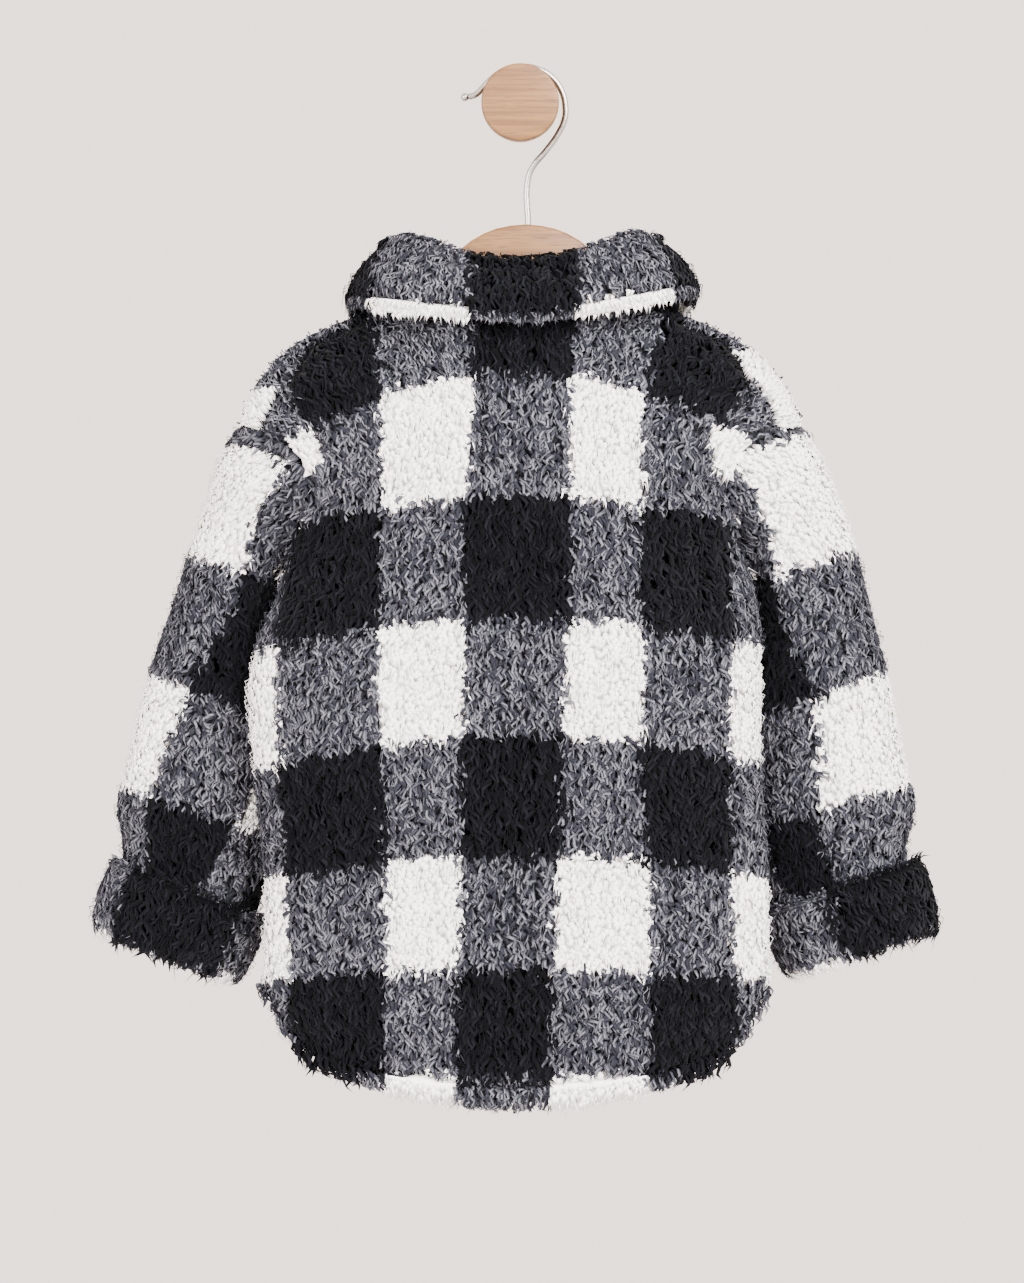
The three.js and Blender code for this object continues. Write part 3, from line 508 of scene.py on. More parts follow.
def collarSurface():
    at = np.linspace(-collar["ends"], collar["ends"], 103)
    sign = np.where(at < 0, -1.0, 1.0)

    def place(name):
        x, y, z = [alongTable(collar, "at", name + axis, np.abs(at)) for axis in "XYZ"]
        return np.stack([sign * x, y, z], axis=-1)

    foot, fold, edge = place("foot"), place("fold"), place("edge")
    rightShare = smoothStep(0.05, 0.4, at) * (1 - smoothStep(0.7, 1, at))
    for line, key, reach in ((fold, "foldLift", rightShare / 2), (edge, "edgeLift", rightShare)):
        line[:, 0] += collar["rightReach"] * reach
        line[:, 2] += collar[key] * rightShare
    out = edge - foot
    out[:, 2] = 0
    out = normalised(out)
    lift = np.array([0, 0, 1.0])
    radius, bulge = collar["foldRadius"], collar["leafBulge"]
    path = [foot + (fold - out * radius - foot) * share for share in collar["standShares"]]
    for turn in np.radians(collar["foldTurns"]):
        path.append(fold + out * radius * math.cos(turn) + lift * radius * math.sin(turn))
    for share in collar["leafShares"]:
        straight = fold + out * radius + (edge - fold - out * radius) * share
        path.append(straight + out * bulge * math.sin(math.pi * share))
    path = np.stack(path)
    relief, short = np.zeros(len(path)), np.ones(len(path))
    relief[20:25] = collar["grooveRelief"]
    short[4:16] = collar["foldShort"]
    short[20:] = collar["leafShort"]
    normal = surfaceOf(path, None, False, -1)["normal"]
    points = path + normal * (collar["thick"] / 2 + relief)[:, None, None]
    arc = arcFrom(points, len(at) // 2)
    low, high, light, dark = [collar[key] for key in ("darkLeft", "darkRight", "light", "dark")]
    arcs = [low - light - dark, low - light, low, high, high + light, high + light + dark]
    half = np.interp(arc, arcs, [-2, -1, 0, 1, 2, 3])
    travel = np.cumsum(strides(points, 0), axis=0)
    travel = np.concatenate([np.zeros((1, len(at))), travel])
    row = (travel[-1][None] - travel - collar["lightStrip"]) / collar["rowTall"]
    check = np.stack([half / 2, row / 2], axis=-1)
    # turned to run from the leaf's edge up over the fold and down to the foot
    surface = surfaceOf(points[::-1], check[::-1], False, 1)
    nearPoints = smoothStep(0.62, 0.9, np.abs(at))
    surface["short"] = short[::-1, None] * (1 - collar["pointsShort"] * nearPoints)[None]
    # on the stand the pile points down to the neckline
    flow = np.interp(np.arange(len(path)), [0, 8, 11], [-1, -1, 1])
    surface["flow"] = np.ones(surface["area"].shape) * flow[::-1, None]
    surface["down"] = normalised(surface["down"] * surface["flow"][..., None])
    return surface


placket = {
    "halfWidth": 13,
    "thick": 3,
    "gap": 0.8,     # from the fronts to the placket
    "heights": [-528, -510, -490, -460, -420, -380, -340, -300, -262, -230, -205, -178, -162],
}


# Where the front's middle lies at a height, read from the panel's own line
def frontMiddleY(z):
    line = bodyPoints(1, np.zeros(400), np.linspace(0, 2, 400))
    return float(np.interp(z, line[:, 2], line[:, 1]))


def placketSurface():
    x = np.linspace(-placket["halfWidth"], placket["halfWidth"], 7)
    z = np.interp(np.linspace(0, 12, 49), np.arange(13), placket["heights"])
    y = np.array([frontMiddleY(height) for height in z]) + placket["gap"] + placket["thick"]
    points = np.stack(np.broadcast_arrays(x[None], y[:, None], z[:, None]), axis=-1).astype(float)
    surface = surfaceOf(points, bodyCheck(points, points[..., 0], 1), False, 1)
    face(surface, (20, 3), [0, 1, 0])
    return surface


def addObject(name, data):
    thing = bpy.data.objects.new(name, data)
    bpy.context.scene.collection.objects.link(thing)
    return thing


def meshObject(name, points, triangles, uvMaps, material):
    mesh = bpy.data.meshes.new(name)
    mesh.from_pydata((np.asarray(points) * 0.001).tolist(), [], np.asarray(triangles).tolist())
    corners = np.empty(len(mesh.loops), dtype=np.int32)
    mesh.loops.foreach_get("vertex_index", corners)
    for mapName, values in uvMaps.items():
        layer = mesh.uv_layers.new(name=mapName)
        layer.uv.foreach_set("vector", np.asarray(values, dtype=np.float32)[corners].ravel())
    mesh.shade_smooth()
    mesh.materials.append(material)
    return addObject(name, mesh)


def halvedQuads(a, b, c, d):
    a, b, c, d = [corner.ravel() for corner in (a, b, c, d)]
    return np.concatenate([np.stack([a, b, c], 1), np.stack([a, c, d], 1)])


# The knitted backing: a thin shell that follows the solid, under the pile
def makeBacking(name, surface, material, scale):
    points, normal, check = [surface[key] for key in ("points", "normal", "check")]
    if surface["closed"]:
        points, normal, check = points[:, :-1], normal[:, :-1], check[:, :-1]
    white = np.all(check % 1.0 >= 0.5, axis=-1)
    depth = cloth["pile"] * scale * np.where(white, cloth["whiteShare"], 1.0)
    outer = points - normal * depth[..., None]
    inner = points - normal * (cloth["pile"] * scale + cloth["backing"] * min(1.0, 2 * scale))
    check = check.reshape(-1, 2)
    far = len(check)
    index = np.arange(far).reshape(points.shape[:2])
    if surface["closed"]:
        index = np.concatenate([index, index[:, :1]], axis=1)

    def rim(line):
        return line[:-1], line[1:], far + line[1:], far + line[:-1]

    def otherRim(line):
        return line[:-1], far + line[:-1], far + line[1:], line[1:]

    outside = halvedQuads(index[:-1, :-1], index[:-1, 1:], index[1:, 1:], index[1:, :-1])
    rims = [otherRim(index[0]), rim(index[-1])]
    if not surface["closed"]:
        rims += [rim(index[:, 0]), otherRim(index[:, -1])]
    faces = [outside, outside[:, ::-1] + far] + [halvedQuads(*line) for line in rims]
    triangles = np.concatenate(faces)
    everything = np.concatenate([outer.reshape(-1, 3), inner.reshape(-1, 3)])
    p, q, r = [everything[triangles[:, k]] for k in range(3)]
    if np.sum(p * np.cross(q, r)) < 0:
        triangles = triangles[:, ::-1]
    uvMaps = {"check": np.concatenate([check, check])}
    return meshObject(name, everything, triangles, uvMaps, material)


def readGrid(values, a, b):
    i = np.clip(a.astype(int), 0, values.shape[0] - 2)
    j = np.clip(b.astype(int), 0, values.shape[1] - 2)
    s, t = (a - i), (b - j)
    if values.ndim == 3:
        s, t = s[:, None], t[:, None]
    return (values[i, j] * (1 - s) * (1 - t) + values[i + 1, j] * s * (1 - t)
            + values[i, j + 1] * (1 - s) * t + values[i + 1, j + 1] * s * t)


# How the pile lies on each of the check's three colours: white, mixed and black
pile = {
    "spacing": 2.03,
    "share": [0.9, 1.0, 0.9],      # of the places that carry a lock
    "length": [9.5, 8.4, 12.0],
    "width": [3.9, 2.7, 3.3],
    "ridge": [0.34, 0.62, 0.70],    # a lock's height at its middle, as a share of its width
    "lift": [4.0, 4.3, 4.5],
    "liftSpread": [0.08, 0.20, 0.24],
    "swirl": [0.30, 0.46, 0.42],
    "swirlSize": [14, 9, 15],
    "scatter": [0.16, 0.20, 0.17],
    "curl": [0.3, 1.0, 0.85],
    "wispShare": 0.18,
    "wispLift": 1.5,    # fine wisps stand out past the rest
    "wispLength": 1.3,
    "wispWidth": 0.25,
    "lengthSpread": (0.75, 1.25),
    "widthSpread": (0.75, 1.2),
    "curlSpread": (0.5, 1.2),
    "curlSize": 6,
    "checkNoise": 0.013,
    "hang": 3.78,       # how far below its root a lock's colour is read from the check
    "partedShare": 0.5,  # how much shorter it is where the pile is parted
    "places": 1.25,     # tried along each way for each one that the spacing asks for
}
# A curled lock has its root, two rings of three points and its tip; a plain one has one ring
curledLock = {
    "along": [0, 0.25, 0.62, 1],
    "lift": [-0.2, 0.85, 1.0, 0.5],
    "sway": [0, 0.16, -0.13, 0.16],
    "thick": [1.0, 0.66],
}
plainLock = {
    "along": [0, 0.42, 1],
    "lift": [-0.2, 1.0, 0.42],
    "sway": [0, 0.08, -0.04],
    "thick": [1.0],
}


def shapeLocks(kind, root, forward, normal, length, height, width, curl, ridge):
    lateral = np.cross(normal, forward)
    along, lift, sway = [np.asarray(kind[key], float)[None, :, None]
                         for key in ("along", "lift", "sway")]
    centre = (root[:, None] + forward[:, None] * along * length[:, None, None]
              + normal[:, None] * lift * height[:, None, None]
              + lateral[:, None] * sway * (length * curl)[:, None, None])
    tangent = normalised(np.gradient(centre, axis=1))
    over = normalised(np.cross(lateral[:, None], tangent))
    corners = [centre[:, 0]]
    for ring, thick in enumerate(kind["thick"], start=1):
        for angle in np.radians([90, 210, 330]):
            wide = (width * thick)[:, None]
            corners.append(centre[:, ring] + lateral * math.cos(angle) * wide
                           + over[:, ring] * math.sin(angle) * wide * ridge[:, None])
    corners.append(centre[:, -1])
    faces = [(0, 2, 1), (0, 3, 2), (0, 1, 3)]
    rings = len(kind["thick"])
    for ring in range(1, rings):
        start = 3 * ring - 2
        for k in range(3):
            n = (k + 1) % 3
            faces += [(start + k, start + n, start + 3 + n),
                      (start + k, start + 3 + n, start + 3 + k)]
    last, tip = 3 * rings - 2, 3 * rings + 1
    faces += [(last, last + 1, tip), (last + 1, last + 2, tip), (last + 2, last, tip)]
    corners = np.stack(corners, axis=1)
    faces = np.array(faces)
    p, q, r = [corners[:, faces[:, k]] - root[:, None] for k in range(3)]
    if np.sum(p * np.cross(q, r)) < 0:
        faces = faces[:, ::-1]
    around = np.array([0.3] + [0.3, 0, 0.6] * rings + [0.3])
    cornerAlong = np.repeat(kind["along"], [1] + [3] * rings + [1])
    return corners, faces, around, cornerAlong


# The pile: curved, tapering locks of three sides, joined in one mesh for each piece
def growPile(name, surface, material, seed, density, rows, scale):
    rng = np.random.default_rng(seed)
    points = surface["points"]
    readCheck = surface.get("checkAt", lambda a, b: readGrid(surface["check"], a, b))
    low, high = rows
    columns = points.shape[1] - 1
    spacing = pile["spacing"] / math.sqrt(density)
    lengthUp = surface["step"][low:high].sum(0).max()
    lengthAcross = strides(points[low:high + 1], 1).sum(1).max()
    countUp, countAcross = [int(length / spacing * pile["places"]) + 1
                            for length in (lengthUp, lengthAcross)]
    a, b = np.meshgrid(np.arange(countUp), np.arange(countAcross), indexing="ij")
    a = (a.ravel() + rng.random(a.size)) / countUp * (high - low) + low
    b = (b.ravel() + rng.random(b.size)) / countAcross * columns
    cell = readGrid(surface["area"], a, b) * (high - low) / countUp * columns / countAcross
    keep = rng.random(a.size) < cell / spacing ** 2
    a, b = a[keep], b[keep]
    darkHalves = (readCheck(a, b) % 1.0 < 0.5).sum(axis=1)
    keep = rng.random(a.size) < np.asarray(pile["share"])[darkHalves]
    a, b = a[keep], b[keep]
    normal = normalised(readGrid(surface["normal"], a, b))
    root = readGrid(points, a, b) - normal * cloth["pile"] * scale
    down = normalised(readGrid(surface["down"], a, b))
    short = readGrid(surface["short"], a, b) * scale
    if "partedAt" in surface:
        short = short * (1 - pile["partedShare"] * surface["partedAt"](a, b))
    count = len(root)
    flow, step = [readGrid(surface[key], a, b) for key in ("flow", "step")]
    lowerA = np.clip(a - pile["hang"] * short * flow / step, 0, points.shape[0] - 1.001)
    check = readCheck(lowerA, b) + rng.normal(0, pile["checkNoise"], (count, 2))
    darkHalves = (check % 1.0 < 0.5).sum(axis=1)
    # the soft noise is read on a slanting plane
    u, v = root[:, 0] + 0.6 * root[:, 1], root[:, 2] + 0.3 * root[:, 1]
    wisp = rng.random(count) < pile["wispShare"]

    def choose(key):
        return np.asarray(pile[key], float)[darkHalves]

    def spread(key):
        return rng.uniform(*pile[key], count)

    def forWisps(key):
        return np.where(wisp, pile[key], 1)

    swirls = [softNoise(seed, u, v, size) for size in pile["swirlSize"]]
    turn = choose("swirl") * np.choose(darkHalves, swirls)
    turn = turn + rng.normal(0, 1, count) * choose("scatter")
    forward = down * np.cos(turn)[:, None] + np.cross(normal, down) * np.sin(turn)[:, None]
    length = choose("length") * short * spread("lengthSpread") * forWisps("wispLength")
    height = choose("lift") * short * (1 + choose("liftSpread") * rng.uniform(-1, 1, count))
    height = height * forWisps("wispLift")
    width = choose("width") / 2 * np.sqrt(short / density) * spread("widthSpread")
    width = width * forWisps("wispWidth")
    sign = np.sign(softNoise(seed + 5, u, v, pile["curlSize"]))
    curl = sign * choose("curl") * spread("curlSpread")
    ridge = choose("ridge")
    plain = wisp | (darkHalves == 0)
    grown, filled = [], 0
    for kind, chosen in ((curledLock, ~plain), (plainLock, plain)):
        measures = (root, forward, normal, length, height, width, curl, ridge)
        corners, faces, around, along = shapeLocks(kind, *[values[chosen] for values in measures])
        locks, size = corners.shape[:2]
        first = filled + size * np.arange(locks)
        number = np.arange(locks)[:, None] + filled + 0.1
        lockMap = np.stack(np.broadcast_arrays(number + around[None], along[None]), axis=-1)
        faces = (faces[None] + first[:, None, None]).reshape(-1, 3)
        checks = np.repeat(check[chosen], size, axis=0)
        grown.append((corners.reshape(-1, 3), faces, checks, lockMap.reshape(-1, 2)))
        filled += locks * size
    corners, triangles, checks, lockMap = [np.concatenate(rows) for rows in zip(*grown)]
    print(name, count, "locks,", len(triangles), "triangles")
    return meshObject(name, corners, triangles, {"check": checks, "lock": lockMap}, material)


# One material, with the nodes that it is made of
class Look:
    def __init__(self, name, roughness):
        self.material = bpy.data.materials.new(name)
        self.material.use_nodes = True
        self.tree = self.material.node_tree
        self.shader = self.tree.nodes["Principled BSDF"]
        self.give("Roughness", roughness)

    def feed(self, socket, value):
        if isinstance(value, (int, float, tuple)):
            socket.default_value = value
        else:
            self.tree.links.new(value, socket)

    def give(self, name, value):
        self.feed(self.shader.inputs[name], value)

    def node(self, kind, inputs, **settings):
        made = self.tree.nodes.new("ShaderNode" + kind)
        for key, value in settings.items():
            setattr(made, key, value)
        for key, value in inputs.items():
            self.feed(made.inputs[key], value)
        return made

    def place(self):
        return self.node("TexCoord", {}).outputs["Object"]

    def uv(self, name):
        return self.node("UVMap", {}, uv_map=name).outputs[0]

    def stretched(self, vector, scale):
        return self.node("Mapping", {"Vector": vector, "Scale": scale}).outputs[0]

    def calculate(self, operation, first, second=0.0):
        return self.node("Math", {0: first, 1: second}, operation=operation).outputs[0]

    def times(self, first, second):
        return self.calculate("MULTIPLY", first, second)

    def mix(self, factor, first, second):
        inputs = {0: factor, 6: first, 7: second}
        return self.node("Mix", inputs, data_type="RGBA").outputs[2]

    def ramp(self, value, low, high, toLow=0.0, toHigh=1.0):
        inputs = {"Value": value, "From Min": low, "From Max": high,
                  "To Min": toLow, "To Max": toHigh}
        return self.node("MapRange", inputs, interpolation_type="SMOOTHSTEP").outputs[0]

    def noise(self, vector, scale, detail):
        inputs = {"Vector": vector, "Scale": scale, "Detail": detail}
        return self.node("TexNoise", inputs).outputs["Fac"]

    def bump(self, height, strength, distance):
        inputs = {"Strength": strength, "Distance": distance, "Height": height}
        self.give("Normal", self.node("Bump", inputs).outputs[0])

    def checked(self, white, mixed, black):
        halves = self.node("SeparateXYZ", {0: self.uv("check")}).outputs
        dark = [self.calculate("LESS_THAN", self.calculate("FRACT", halves[k]), 0.5)
                for k in (0, 1)]
        either = self.calculate("MAXIMUM", *dark)
        return self.mix(self.times(*dark), self.mix(either, white, mixed), black)


fleece = {
    "white": (0.93, 0.91, 0.875, 1),
    "whiteShade": (0.89, 0.87, 0.83, 1),
    "black": (0.0014, 0.0014, 0.0020, 1),
    # painted highlight: the black locks' colour on their ridges towards the tips
    "blackPaintedHighlight": (0.0098, 0.0098, 0.0138, 1),
    "mixedLight": (0.175, 0.175, 0.200, 1),
    "mixedDark": (0.0165, 0.0165, 0.0225, 1),
    "mixedUnder": (0.0525, 0.0525, 0.06, 1),    # the lighter yarn of the backing
    "mixedFrom": 0.13,  # the locks run from dark to light ones between these two chances
    "mixedTo": 0.85,
    "rough": 0.95,
}


def fleeceLook(name):
    look = Look(name, fleece["rough"])
    look.give("Sheen Weight", 0.015)
    look.give("Sheen Roughness", 0.5)
    look.give("Specular IOR Level", 0.04)
    return look


# The lock map's first value is a lock's number and the way round it, its second the way along
def pileFleece():
    look = fleeceLook("pileFleece")
    lockMap = look.uv("lock")
    number, along = look.node("SeparateXYZ", {0: lockMap}).outputs[:2]
    whole = look.calculate("FLOOR", number)
    chance = look.node("TexWhiteNoise", {"W": whole}, noise_dimensions="1D").outputs["Value"]
    around = look.calculate("SUBTRACT", look.calculate("FRACT", number), 0.4)
    # painted highlight along each lock's ridge, with painted shade down its sides
    paintedRidgeHighlight = look.ramp(look.calculate("ABSOLUTE", around), 0.02, 0.30, 1.0, 0.25)
    fibre = look.noise(look.stretched(lockMap, (7.0, 1.4, 1.0)), 1.0, 1.0)
    white = look.mix(look.times(fibre, chance), fleece["white"], fleece["whiteShade"])
    yarn = look.ramp(chance, fleece["mixedFrom"], fleece["mixedTo"])
    # painted shade: the mixed locks go darker towards the root, where they lie in each other's
    # shade
    tip = look.ramp(look.calculate("ADD", along, look.times(fibre, 0.4)), 0.25, 0.85)
    # the painted ridge highlight, times the fibres' own lighter and darker streaks
    paintedHighlightAndFibre = look.times(paintedRidgeHighlight, look.ramp(fibre, 0.2, 0.6, 0.5, 1.0))
    # how much light yarn shows: the lock's own yarn tone, times the painted root shade and the
    # painted ridge highlight
    light = look.times(look.times(yarn, tip), paintedHighlightAndFibre)
    mixed = look.mix(light, fleece["mixedDark"], fleece["mixedLight"])
    # painted highlight on the black locks, lighter along the ridge and towards the tip, at a
    # strength that differs from lock to lock
    paintedBlackHighlight = look.times(look.ramp(along, 0.1, 0.8), look.times(paintedRidgeHighlight, chance))
    black = look.mix(paintedBlackHighlight, fleece["black"], fleece["blackPaintedHighlight"])
    shade = look.ramp(look.noise(look.place(), 60, 1.0), 0.3, 0.7, 0.94, 1.0)
    inputs = {0: look.checked(white, mixed, black), "Scale": shade}
    colour = look.node("VectorMath", inputs, operation="SCALE")
    look.give("Base Color", colour.outputs[0])
    look.bump(fibre, 0.35, 0.0004)
    return look.material


def knittedBacking():
    look = fleeceLook("knittedBacking")
    place = look.place()
    speck = look.ramp(look.noise(place, 500, 1.0), 0.45, 0.6)
    mixed = look.mix(speck, fleece["mixedDark"], fleece["mixedUnder"])
    look.give("Base Color", look.checked(fleece["whiteShade"], mixed, fleece["black"]))
    inputs = {"Vector": place, "Scale": 260, "Distortion": 1.5}
    rows = look.node("TexWave", inputs, bands_direction="Z")
    look.bump(rows.outputs["Fac"], 0.3, 0.0003)
    return look.material


wood = {
    "light": (0.176, 0.076, 0.015, 1),
    "dark": (0.108, 0.039, 0.0055, 1),
    "pore": (0.07, 0.030, 0.010, 1),
}


# The grain runs along X, in wavy bands with fine short pores
def paleWood(name, bands):
    look = Look(name, 0.5)
    place = look.place()
    band = look.noise(look.stretched(place, (14, 60, bands)), 1.0, 4.0)
    pore = look.noise(look.stretched(place, (90, 900, 1500)), 1.0, 2.0)
    colour = look.mix(look.ramp(band, 0.35, 0.65), wood["dark"], wood["light"])
    colour = look.mix(look.ramp(pore, 0.54, 0.72, 0.0, 0.75), colour, wood["pore"])
    look.give("Base Color", colour)
    look.give("Roughness", look.ramp(pore, 0.4, 0.7, 0.45, 0.7))
    look.bump(pore, 0.15, 0.0002)
    return look.material


def satinWire():
    look = Look("satinWire", 0.28)
    look.give("Metallic", 1.0)
    drawn = look.noise(look.place(), 900, 2.0)
    look.give("Base Color", look.mix(drawn, (0.32, 0.30, 0.275, 1), (0.44, 0.42, 0.39, 1)))
    look.give("Roughness", look.ramp(drawn, 0.3, 0.7, 0.22, 0.36))
    return look.material


def darkButton():
    look = Look("darkButton", 0.35)
    cloud = look.noise(look.place(), 240, 3.0)
    shade = look.ramp(cloud, 0.35, 0.7)
    look.give("Base Color", look.mix(shade, (0.008, 0.008, 0.010, 1), (0.022, 0.022, 0.026, 1)))
    look.give("Roughness", look.ramp(cloud, 0.3, 0.7, 0.28, 0.45))
    look.bump(cloud, 0.06, 0.0002)
    return look.material


pileMaterial = pileFleece()
backingMaterial = knittedBacking()
pegMaterial = paleWood("pegWood", 420)
hangerMaterial = paleWood("hangerWood", 260)
wireMaterial = satinWire()
buttonMaterial = darkButton()
print("materials made")

# Flat sizes and areas are of the cloth that shows, unrolled, without allowances
onHanger = ["hanger_body"]
pieces = [
    {"node": "back", "surface": bodySurface(-1, -math.pi / 2, math.pi / 2, 72),
     "flat": (0.404, 0.477), "area": 0.132, "rests": onHanger, "parts": 2},
    {"node": "front_left", "surface": bodySurface(1, -math.pi / 2, 0.0, 34),
     "flat": (0.217, 0.456), "area": 0.063, "rests": onHanger, "density": 0.52},
    {"node": "front_right", "surface": bodySurface(1, 0.0, math.pi / 2, 34),
     "flat": (0.217, 0.456), "area": 0.062, "rests": onHanger, "density": 0.52},
    {"node": "placket", "surface": placketSurface(), "flat": (0.026, 0.366), "scale": 0.4},
    {"node": "sleeve_left", "surface": sleeveSurface(-1), "flat": (0.275, 0.293), "area": 0.055},
    {"node": "sleeve_right", "surface": sleeveSurface(1), "flat": (0.274, 0.292), "area": 0.056},
    {"node": "cuff_left", "surface": cuffSurface(-1), "flat": (0.249, 0.057), "area": 0.013},
    {"node": "cuff_right", "surface": cuffSurface(1), "flat": (0.251, 0.057), "area": 0.013},
    {"node": "collar", "surface": collarSurface(), "flat": (0.496, 0.101), "area": 0.034},
]
for number, piece in enumerate(pieces):
    node, surface = piece["node"], piece["surface"]
    scale, density, parts = [piece.get(key, 1) for key in ("scale", "density", "parts")]
    backing = makeBacking(node + "_cloth", surface, backingMaterial, scale)
    lastRow = surface["points"].shape[0] - 1
    grown = []
    for part in range(parts):
        span = (lastRow * part // parts, lastRow * (part + 1) // parts)
        label = node + "_pile" + ("_" + str(part + 1) if parts > 1 else "")
        seed = 40 + number * 7 + part
        grown.append(growPile(label, surface, pileMaterial, seed, density, span, scale))
    for thing in [backing] + grown:
        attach(thing, "root")
    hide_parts(node)
    print(node, "cloth area", round(float(surface["area"][:-1, :-1].sum()) * 1e-6, 4))
print("cloth made")


def deselectAll():
    bpy.ops.object.select_all(action="DESELECT")


def makeActive(thing):
    deselectAll()
    thing.select_set(True)
    bpy.context.view_layer.objects.active = thing


def setMode(mode):
    bpy.ops.object.mode_set(mode=mode)


def applyPlace():
    bpy.ops.object.transform_apply(location=True, rotation=True, scale=True)


# Selects the faces or edges that pass the test, and stays in edit mode
def pick(thing, kind, test):
    setMode("EDIT")
    bpy.ops.mesh.select_mode(type=kind)
    bpy.ops.mesh.select_all(action="DESELECT")
    setMode("OBJECT")
    for part in thing.data.polygons if kind == "FACE" else thing.data.edges:
        part.select = test(part)
    setMode("EDIT")


def bevelRims(thing, radius, width, segments):
    def outside(corner):
        spot = thing.data.vertices[corner].co
        return math.hypot(spot.x, spot.z) > radius - 0.0001

    pick(thing, "EDGE", lambda edge: all(outside(corner) for corner in edge.vertices))
    bpy.ops.mesh.bevel(offset=width, segments=segments, affect="EDGES")
    setMode("OBJECT")


def extrude(distance):
    bpy.ops.mesh.extrude_region_move(TRANSFORM_OT_translate={"value": (0, distance, 0)})


def widen(amount, y):
    bpy.ops.transform.resize(value=(amount, 1, amount), center_override=(0, y, 0))


# A cylinder along Y; turn is the way that its axis is turned there
def addCylinder(corners, radius, depth, place, turn=1):
    deselectAll()
    bpy.ops.mesh.primitive_cylinder_add(vertices=corners, radius=radius, depth=depth,
                                        location=place, rotation=(turn * math.pi / 2, 0, 0))
    applyPlace()
    return bpy.context.object


def settle(thing, name, node, material):
    makeActive(thing)
    applyPlace()
    bpy.ops.object.shade_smooth_by_angle(angle=math.radians(40))
    thing.name = name
    thing.data.name = name
    thing.data.materials.clear()
    thing.data.materials.append(material)
    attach(thing, "root")
    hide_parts(node)


peg = {
    "shaftRadius": 0.0184,
    "shaftLength": 0.064,
    "knobRadius": 0.0215,
    "knobEnd": 0.080,
    "lip": 0.0002,
    "edgeRound": 0.0016,
}
shaft = peg["shaftLength"]
wallPeg = addCylinder(96, peg["shaftRadius"], shaft, (0, -shaft / 2, 0))
pick(wallPeg, "FACE", lambda part: part.normal.y < -0.9)
extrude(-peg["lip"])
widen(peg["knobRadius"] / peg["shaftRadius"], -shaft)
extrude(shaft - peg["knobEnd"])
bevelRims(wallPeg, peg["knobRadius"], peg["edgeRound"], 5)
settle(wallPeg, "wall_peg", "peg", pegMaterial)

button = {
    "radius": 0.0075,
    "thick": 0.003,
    "dishRadius": 0.0052,
    "dishDepth": 0.0008,
    "holeRadius": 0.0009,
    "dishTaper": 0.92,
    "holeOut": 0.00120207,      # across and up from the middle
    "edgeRound": 0.0007,
    "heights": [-0.178, -0.256, -0.334, -0.412, -0.490],
    "lift": 0.0042,     # from the front to the button's back
}
thick = button["thick"]
buttonModel = addCylinder(48, button["radius"], thick, (0, thick / 2, 0), -1)
pick(buttonModel, "FACE", lambda part: part.normal.y > 0.9)
bpy.ops.mesh.inset(thickness=button["radius"] - button["dishRadius"])
extrude(-button["dishDepth"])
widen(button["dishTaper"], 0)
bevelRims(buttonModel, button["dishRadius"], button["edgeRound"], 3)
out = button["holeOut"]
for x, z in [(out, out), (out, -out), (-out, out), (-out, -out)]:
    drill = addCylinder(16, button["holeRadius"], 0.01, (x, 0.002, z))
    hole = buttonModel.modifiers.new("hole", "BOOLEAN")
    hole.operation = "DIFFERENCE"
    hole.object = drill
    bpy.context.view_layer.objects.active = buttonModel
    bpy.ops.object.modifier_apply(modifier="hole")
    bpy.data.objects.remove(drill)
for number, height in enumerate(button["heights"], start=1):
    node = "button_" + str(number)
    copy = addObject("copy", buttonModel.data.copy())
    copy.location = (0, frontMiddleY(height * 1000) * 0.001 + button["lift"], height)
    settle(copy, node + "_model", node, buttonMaterial)
bpy.data.objects.remove(buttonModel)
print("peg and buttons made")

hook = {
    "x": [4.4, 4.4, 7.2, 14.2, 21.2, 24.8, 25.1, 23.3, 17.6, 9.4, 0,
          -9, -15.7, -20.9, -25.1, -28.6],
    "z": [-66.9, -41.7, -34.7, -26.2, -16.4, -8, -1, 6.6, 14.8, 19.6, 20.7,
          18.7, 14.2, 8.8, 5, 4],
    "radius": 1.75,
    "ballRadius": 2.3,
    "ballPlace": (-30.6, 3.8),
}
wire = bpy.data.curves.new("hookWire", "CURVE")
wire.dimensions = "3D"
wire.bevel_depth = hook["radius"] * 0.001
wire.bevel_resolution = 6
wire.use_fill_caps = True
line = wire.splines.new("BEZIER")
line.resolution_u = 10
line.bezier_points.add(len(hook["x"]) - 1)
for point, x, z in zip(line.bezier_points, hook["x"], hook["z"]):
    point.co = (x * 0.001, body["shoulderPlane"] * 0.001, z * 0.001)
    point.handle_left_type = "AUTO"
    point.handle_right_type = "AUTO"
wireModel = addObject("hookWire", wire)
makeActive(wireModel)
bpy.ops.object.convert(target="MESH")
deselectAll()
ballX, ballZ = hook["ballPlace"]
bpy.ops.mesh.primitive_uv_sphere_add(
    segments=24, ring_count=14, radius=hook["ballRadius"] * 0.001,
    location=(ballX * 0.001, body["shoulderPlane"] * 0.001, ballZ * 0.001))
wireModel.select_set(True)
bpy.context.view_layer.objects.active = wireModel
bpy.ops.object.join()
settle(wireModel, "hanger_hook_wire", "hanger_hook", wireMaterial)

# The hanger's wood has the solid's own shape, with its edges softened
hangerModel = addObject("hangerModel", bpy.data.objects["hanger_body"].data.copy())
makeActive(hangerModel)
setMode("EDIT")
bpy.ops.mesh.select_all(action="SELECT")
bpy.ops.mesh.remove_doubles(threshold=0.00001)
setMode("OBJECT")
soften = hangerModel.modifiers.new("soften", "BEVEL")
soften.width = 0.0006
soften.segments = 2
soften.limit_method = "ANGLE"
soften.angle_limit = math.radians(30)
bpy.ops.object.modifier_apply(modifier="soften")
settle(hangerModel, "hanger_wood_body", "hanger_body", hangerMaterial)
print("hanger made")

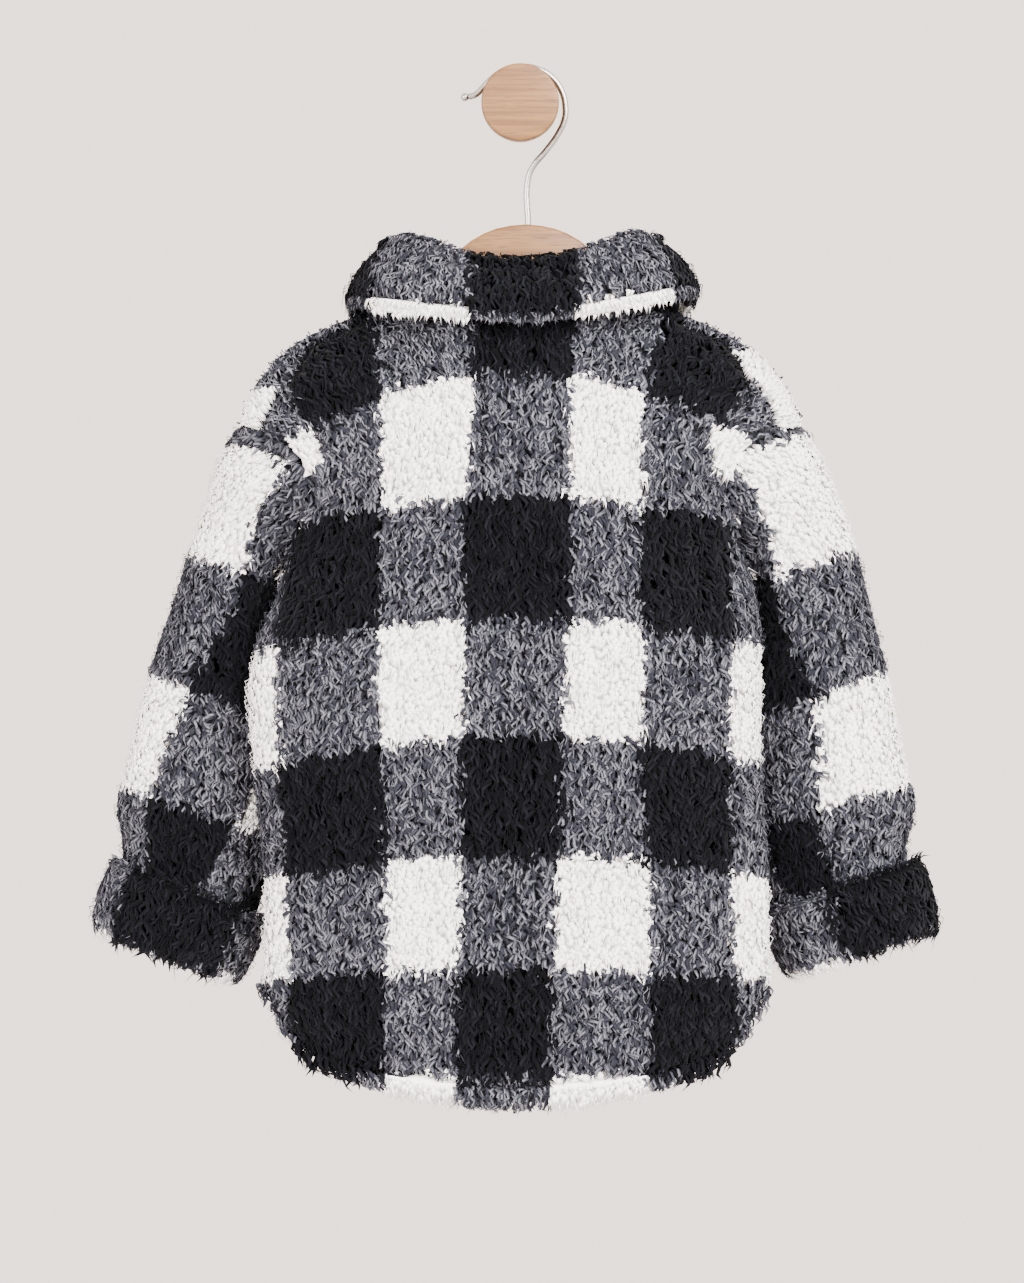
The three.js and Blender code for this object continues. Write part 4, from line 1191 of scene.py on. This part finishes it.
# Light, floor and camera
light = {
    "world": 2.65,
    "worldColour": (1.0, 0.87, 0.79, 1),
    "aim": (0, 0, -0.3),
    "lampSize": 2.0,
    "floorZ": -1.0,
}
lamps = [
    {"name": "keyLamp", "place": (1.3, -1.9, 0.9), "power": 300, "colour": (0.97, 0.985, 1)},
    {"name": "fillLamp", "place": (-1.6, -1.8, 0.1), "power": 120, "colour": (0.97, 0.98, 1)},
]
world = bpy.data.worlds.new("paleRoom")
bpy.context.scene.world = world
world.use_nodes = True
background = world.node_tree.nodes["Background"]
background.inputs["Color"].default_value = light["worldColour"]
background.inputs["Strength"].default_value = light["world"]
for row in lamps:
    lamp = bpy.data.lights.new(row["name"], "AREA")
    lamp.shape = "DISK"
    lamp.size = light["lampSize"]
    lamp.energy = row["power"]
    lamp.color = row["colour"]
    thing = addObject(row["name"], lamp)
    thing.location = row["place"]
    towards = Vector(light["aim"]) - Vector(row["place"])
    thing.rotation_euler = towards.to_track_quat("-Z", "Y").to_euler()

deselectAll()
bpy.ops.mesh.primitive_circle_add(vertices=64, radius=1.2, fill_type="NGON",
                                  location=(0, 0, light["floorZ"]))
floor = bpy.context.object
floor.name = "plain_floor"
floorLook = Look("paleFloor", 0.9)
grain = floorLook.noise(floorLook.place(), 30, 3.0)
floorLook.give("Base Color", floorLook.mix(grain, (0.72, 0.70, 0.68, 1), (0.76, 0.74, 0.72, 1)))
floor.data.materials.append(floorLook.material)

view = {
    "x": -0.0045,
    "z": -0.2984,
    "plane": -0.08,         # the depth at which the frame is as tall as frameTall
    "distance": 5.5,
    "frameTall": 0.7095,
    "sensor": 36,
}
cameraData = bpy.data.cameras.new("photoCamera")
cameraData.sensor_width = view["sensor"]
cameraData.lens = view["sensor"] * view["distance"] / view["frameTall"]
cameraData.clip_end = 20
photoCamera = addObject("photoCamera", cameraData)
photoCamera.location = (view["x"], view["plane"] - view["distance"], view["z"])
photoCamera.rotation_euler = (math.pi / 2, 0, 0)
bpy.context.scene.camera = photoCamera
print("light, floor and camera set")
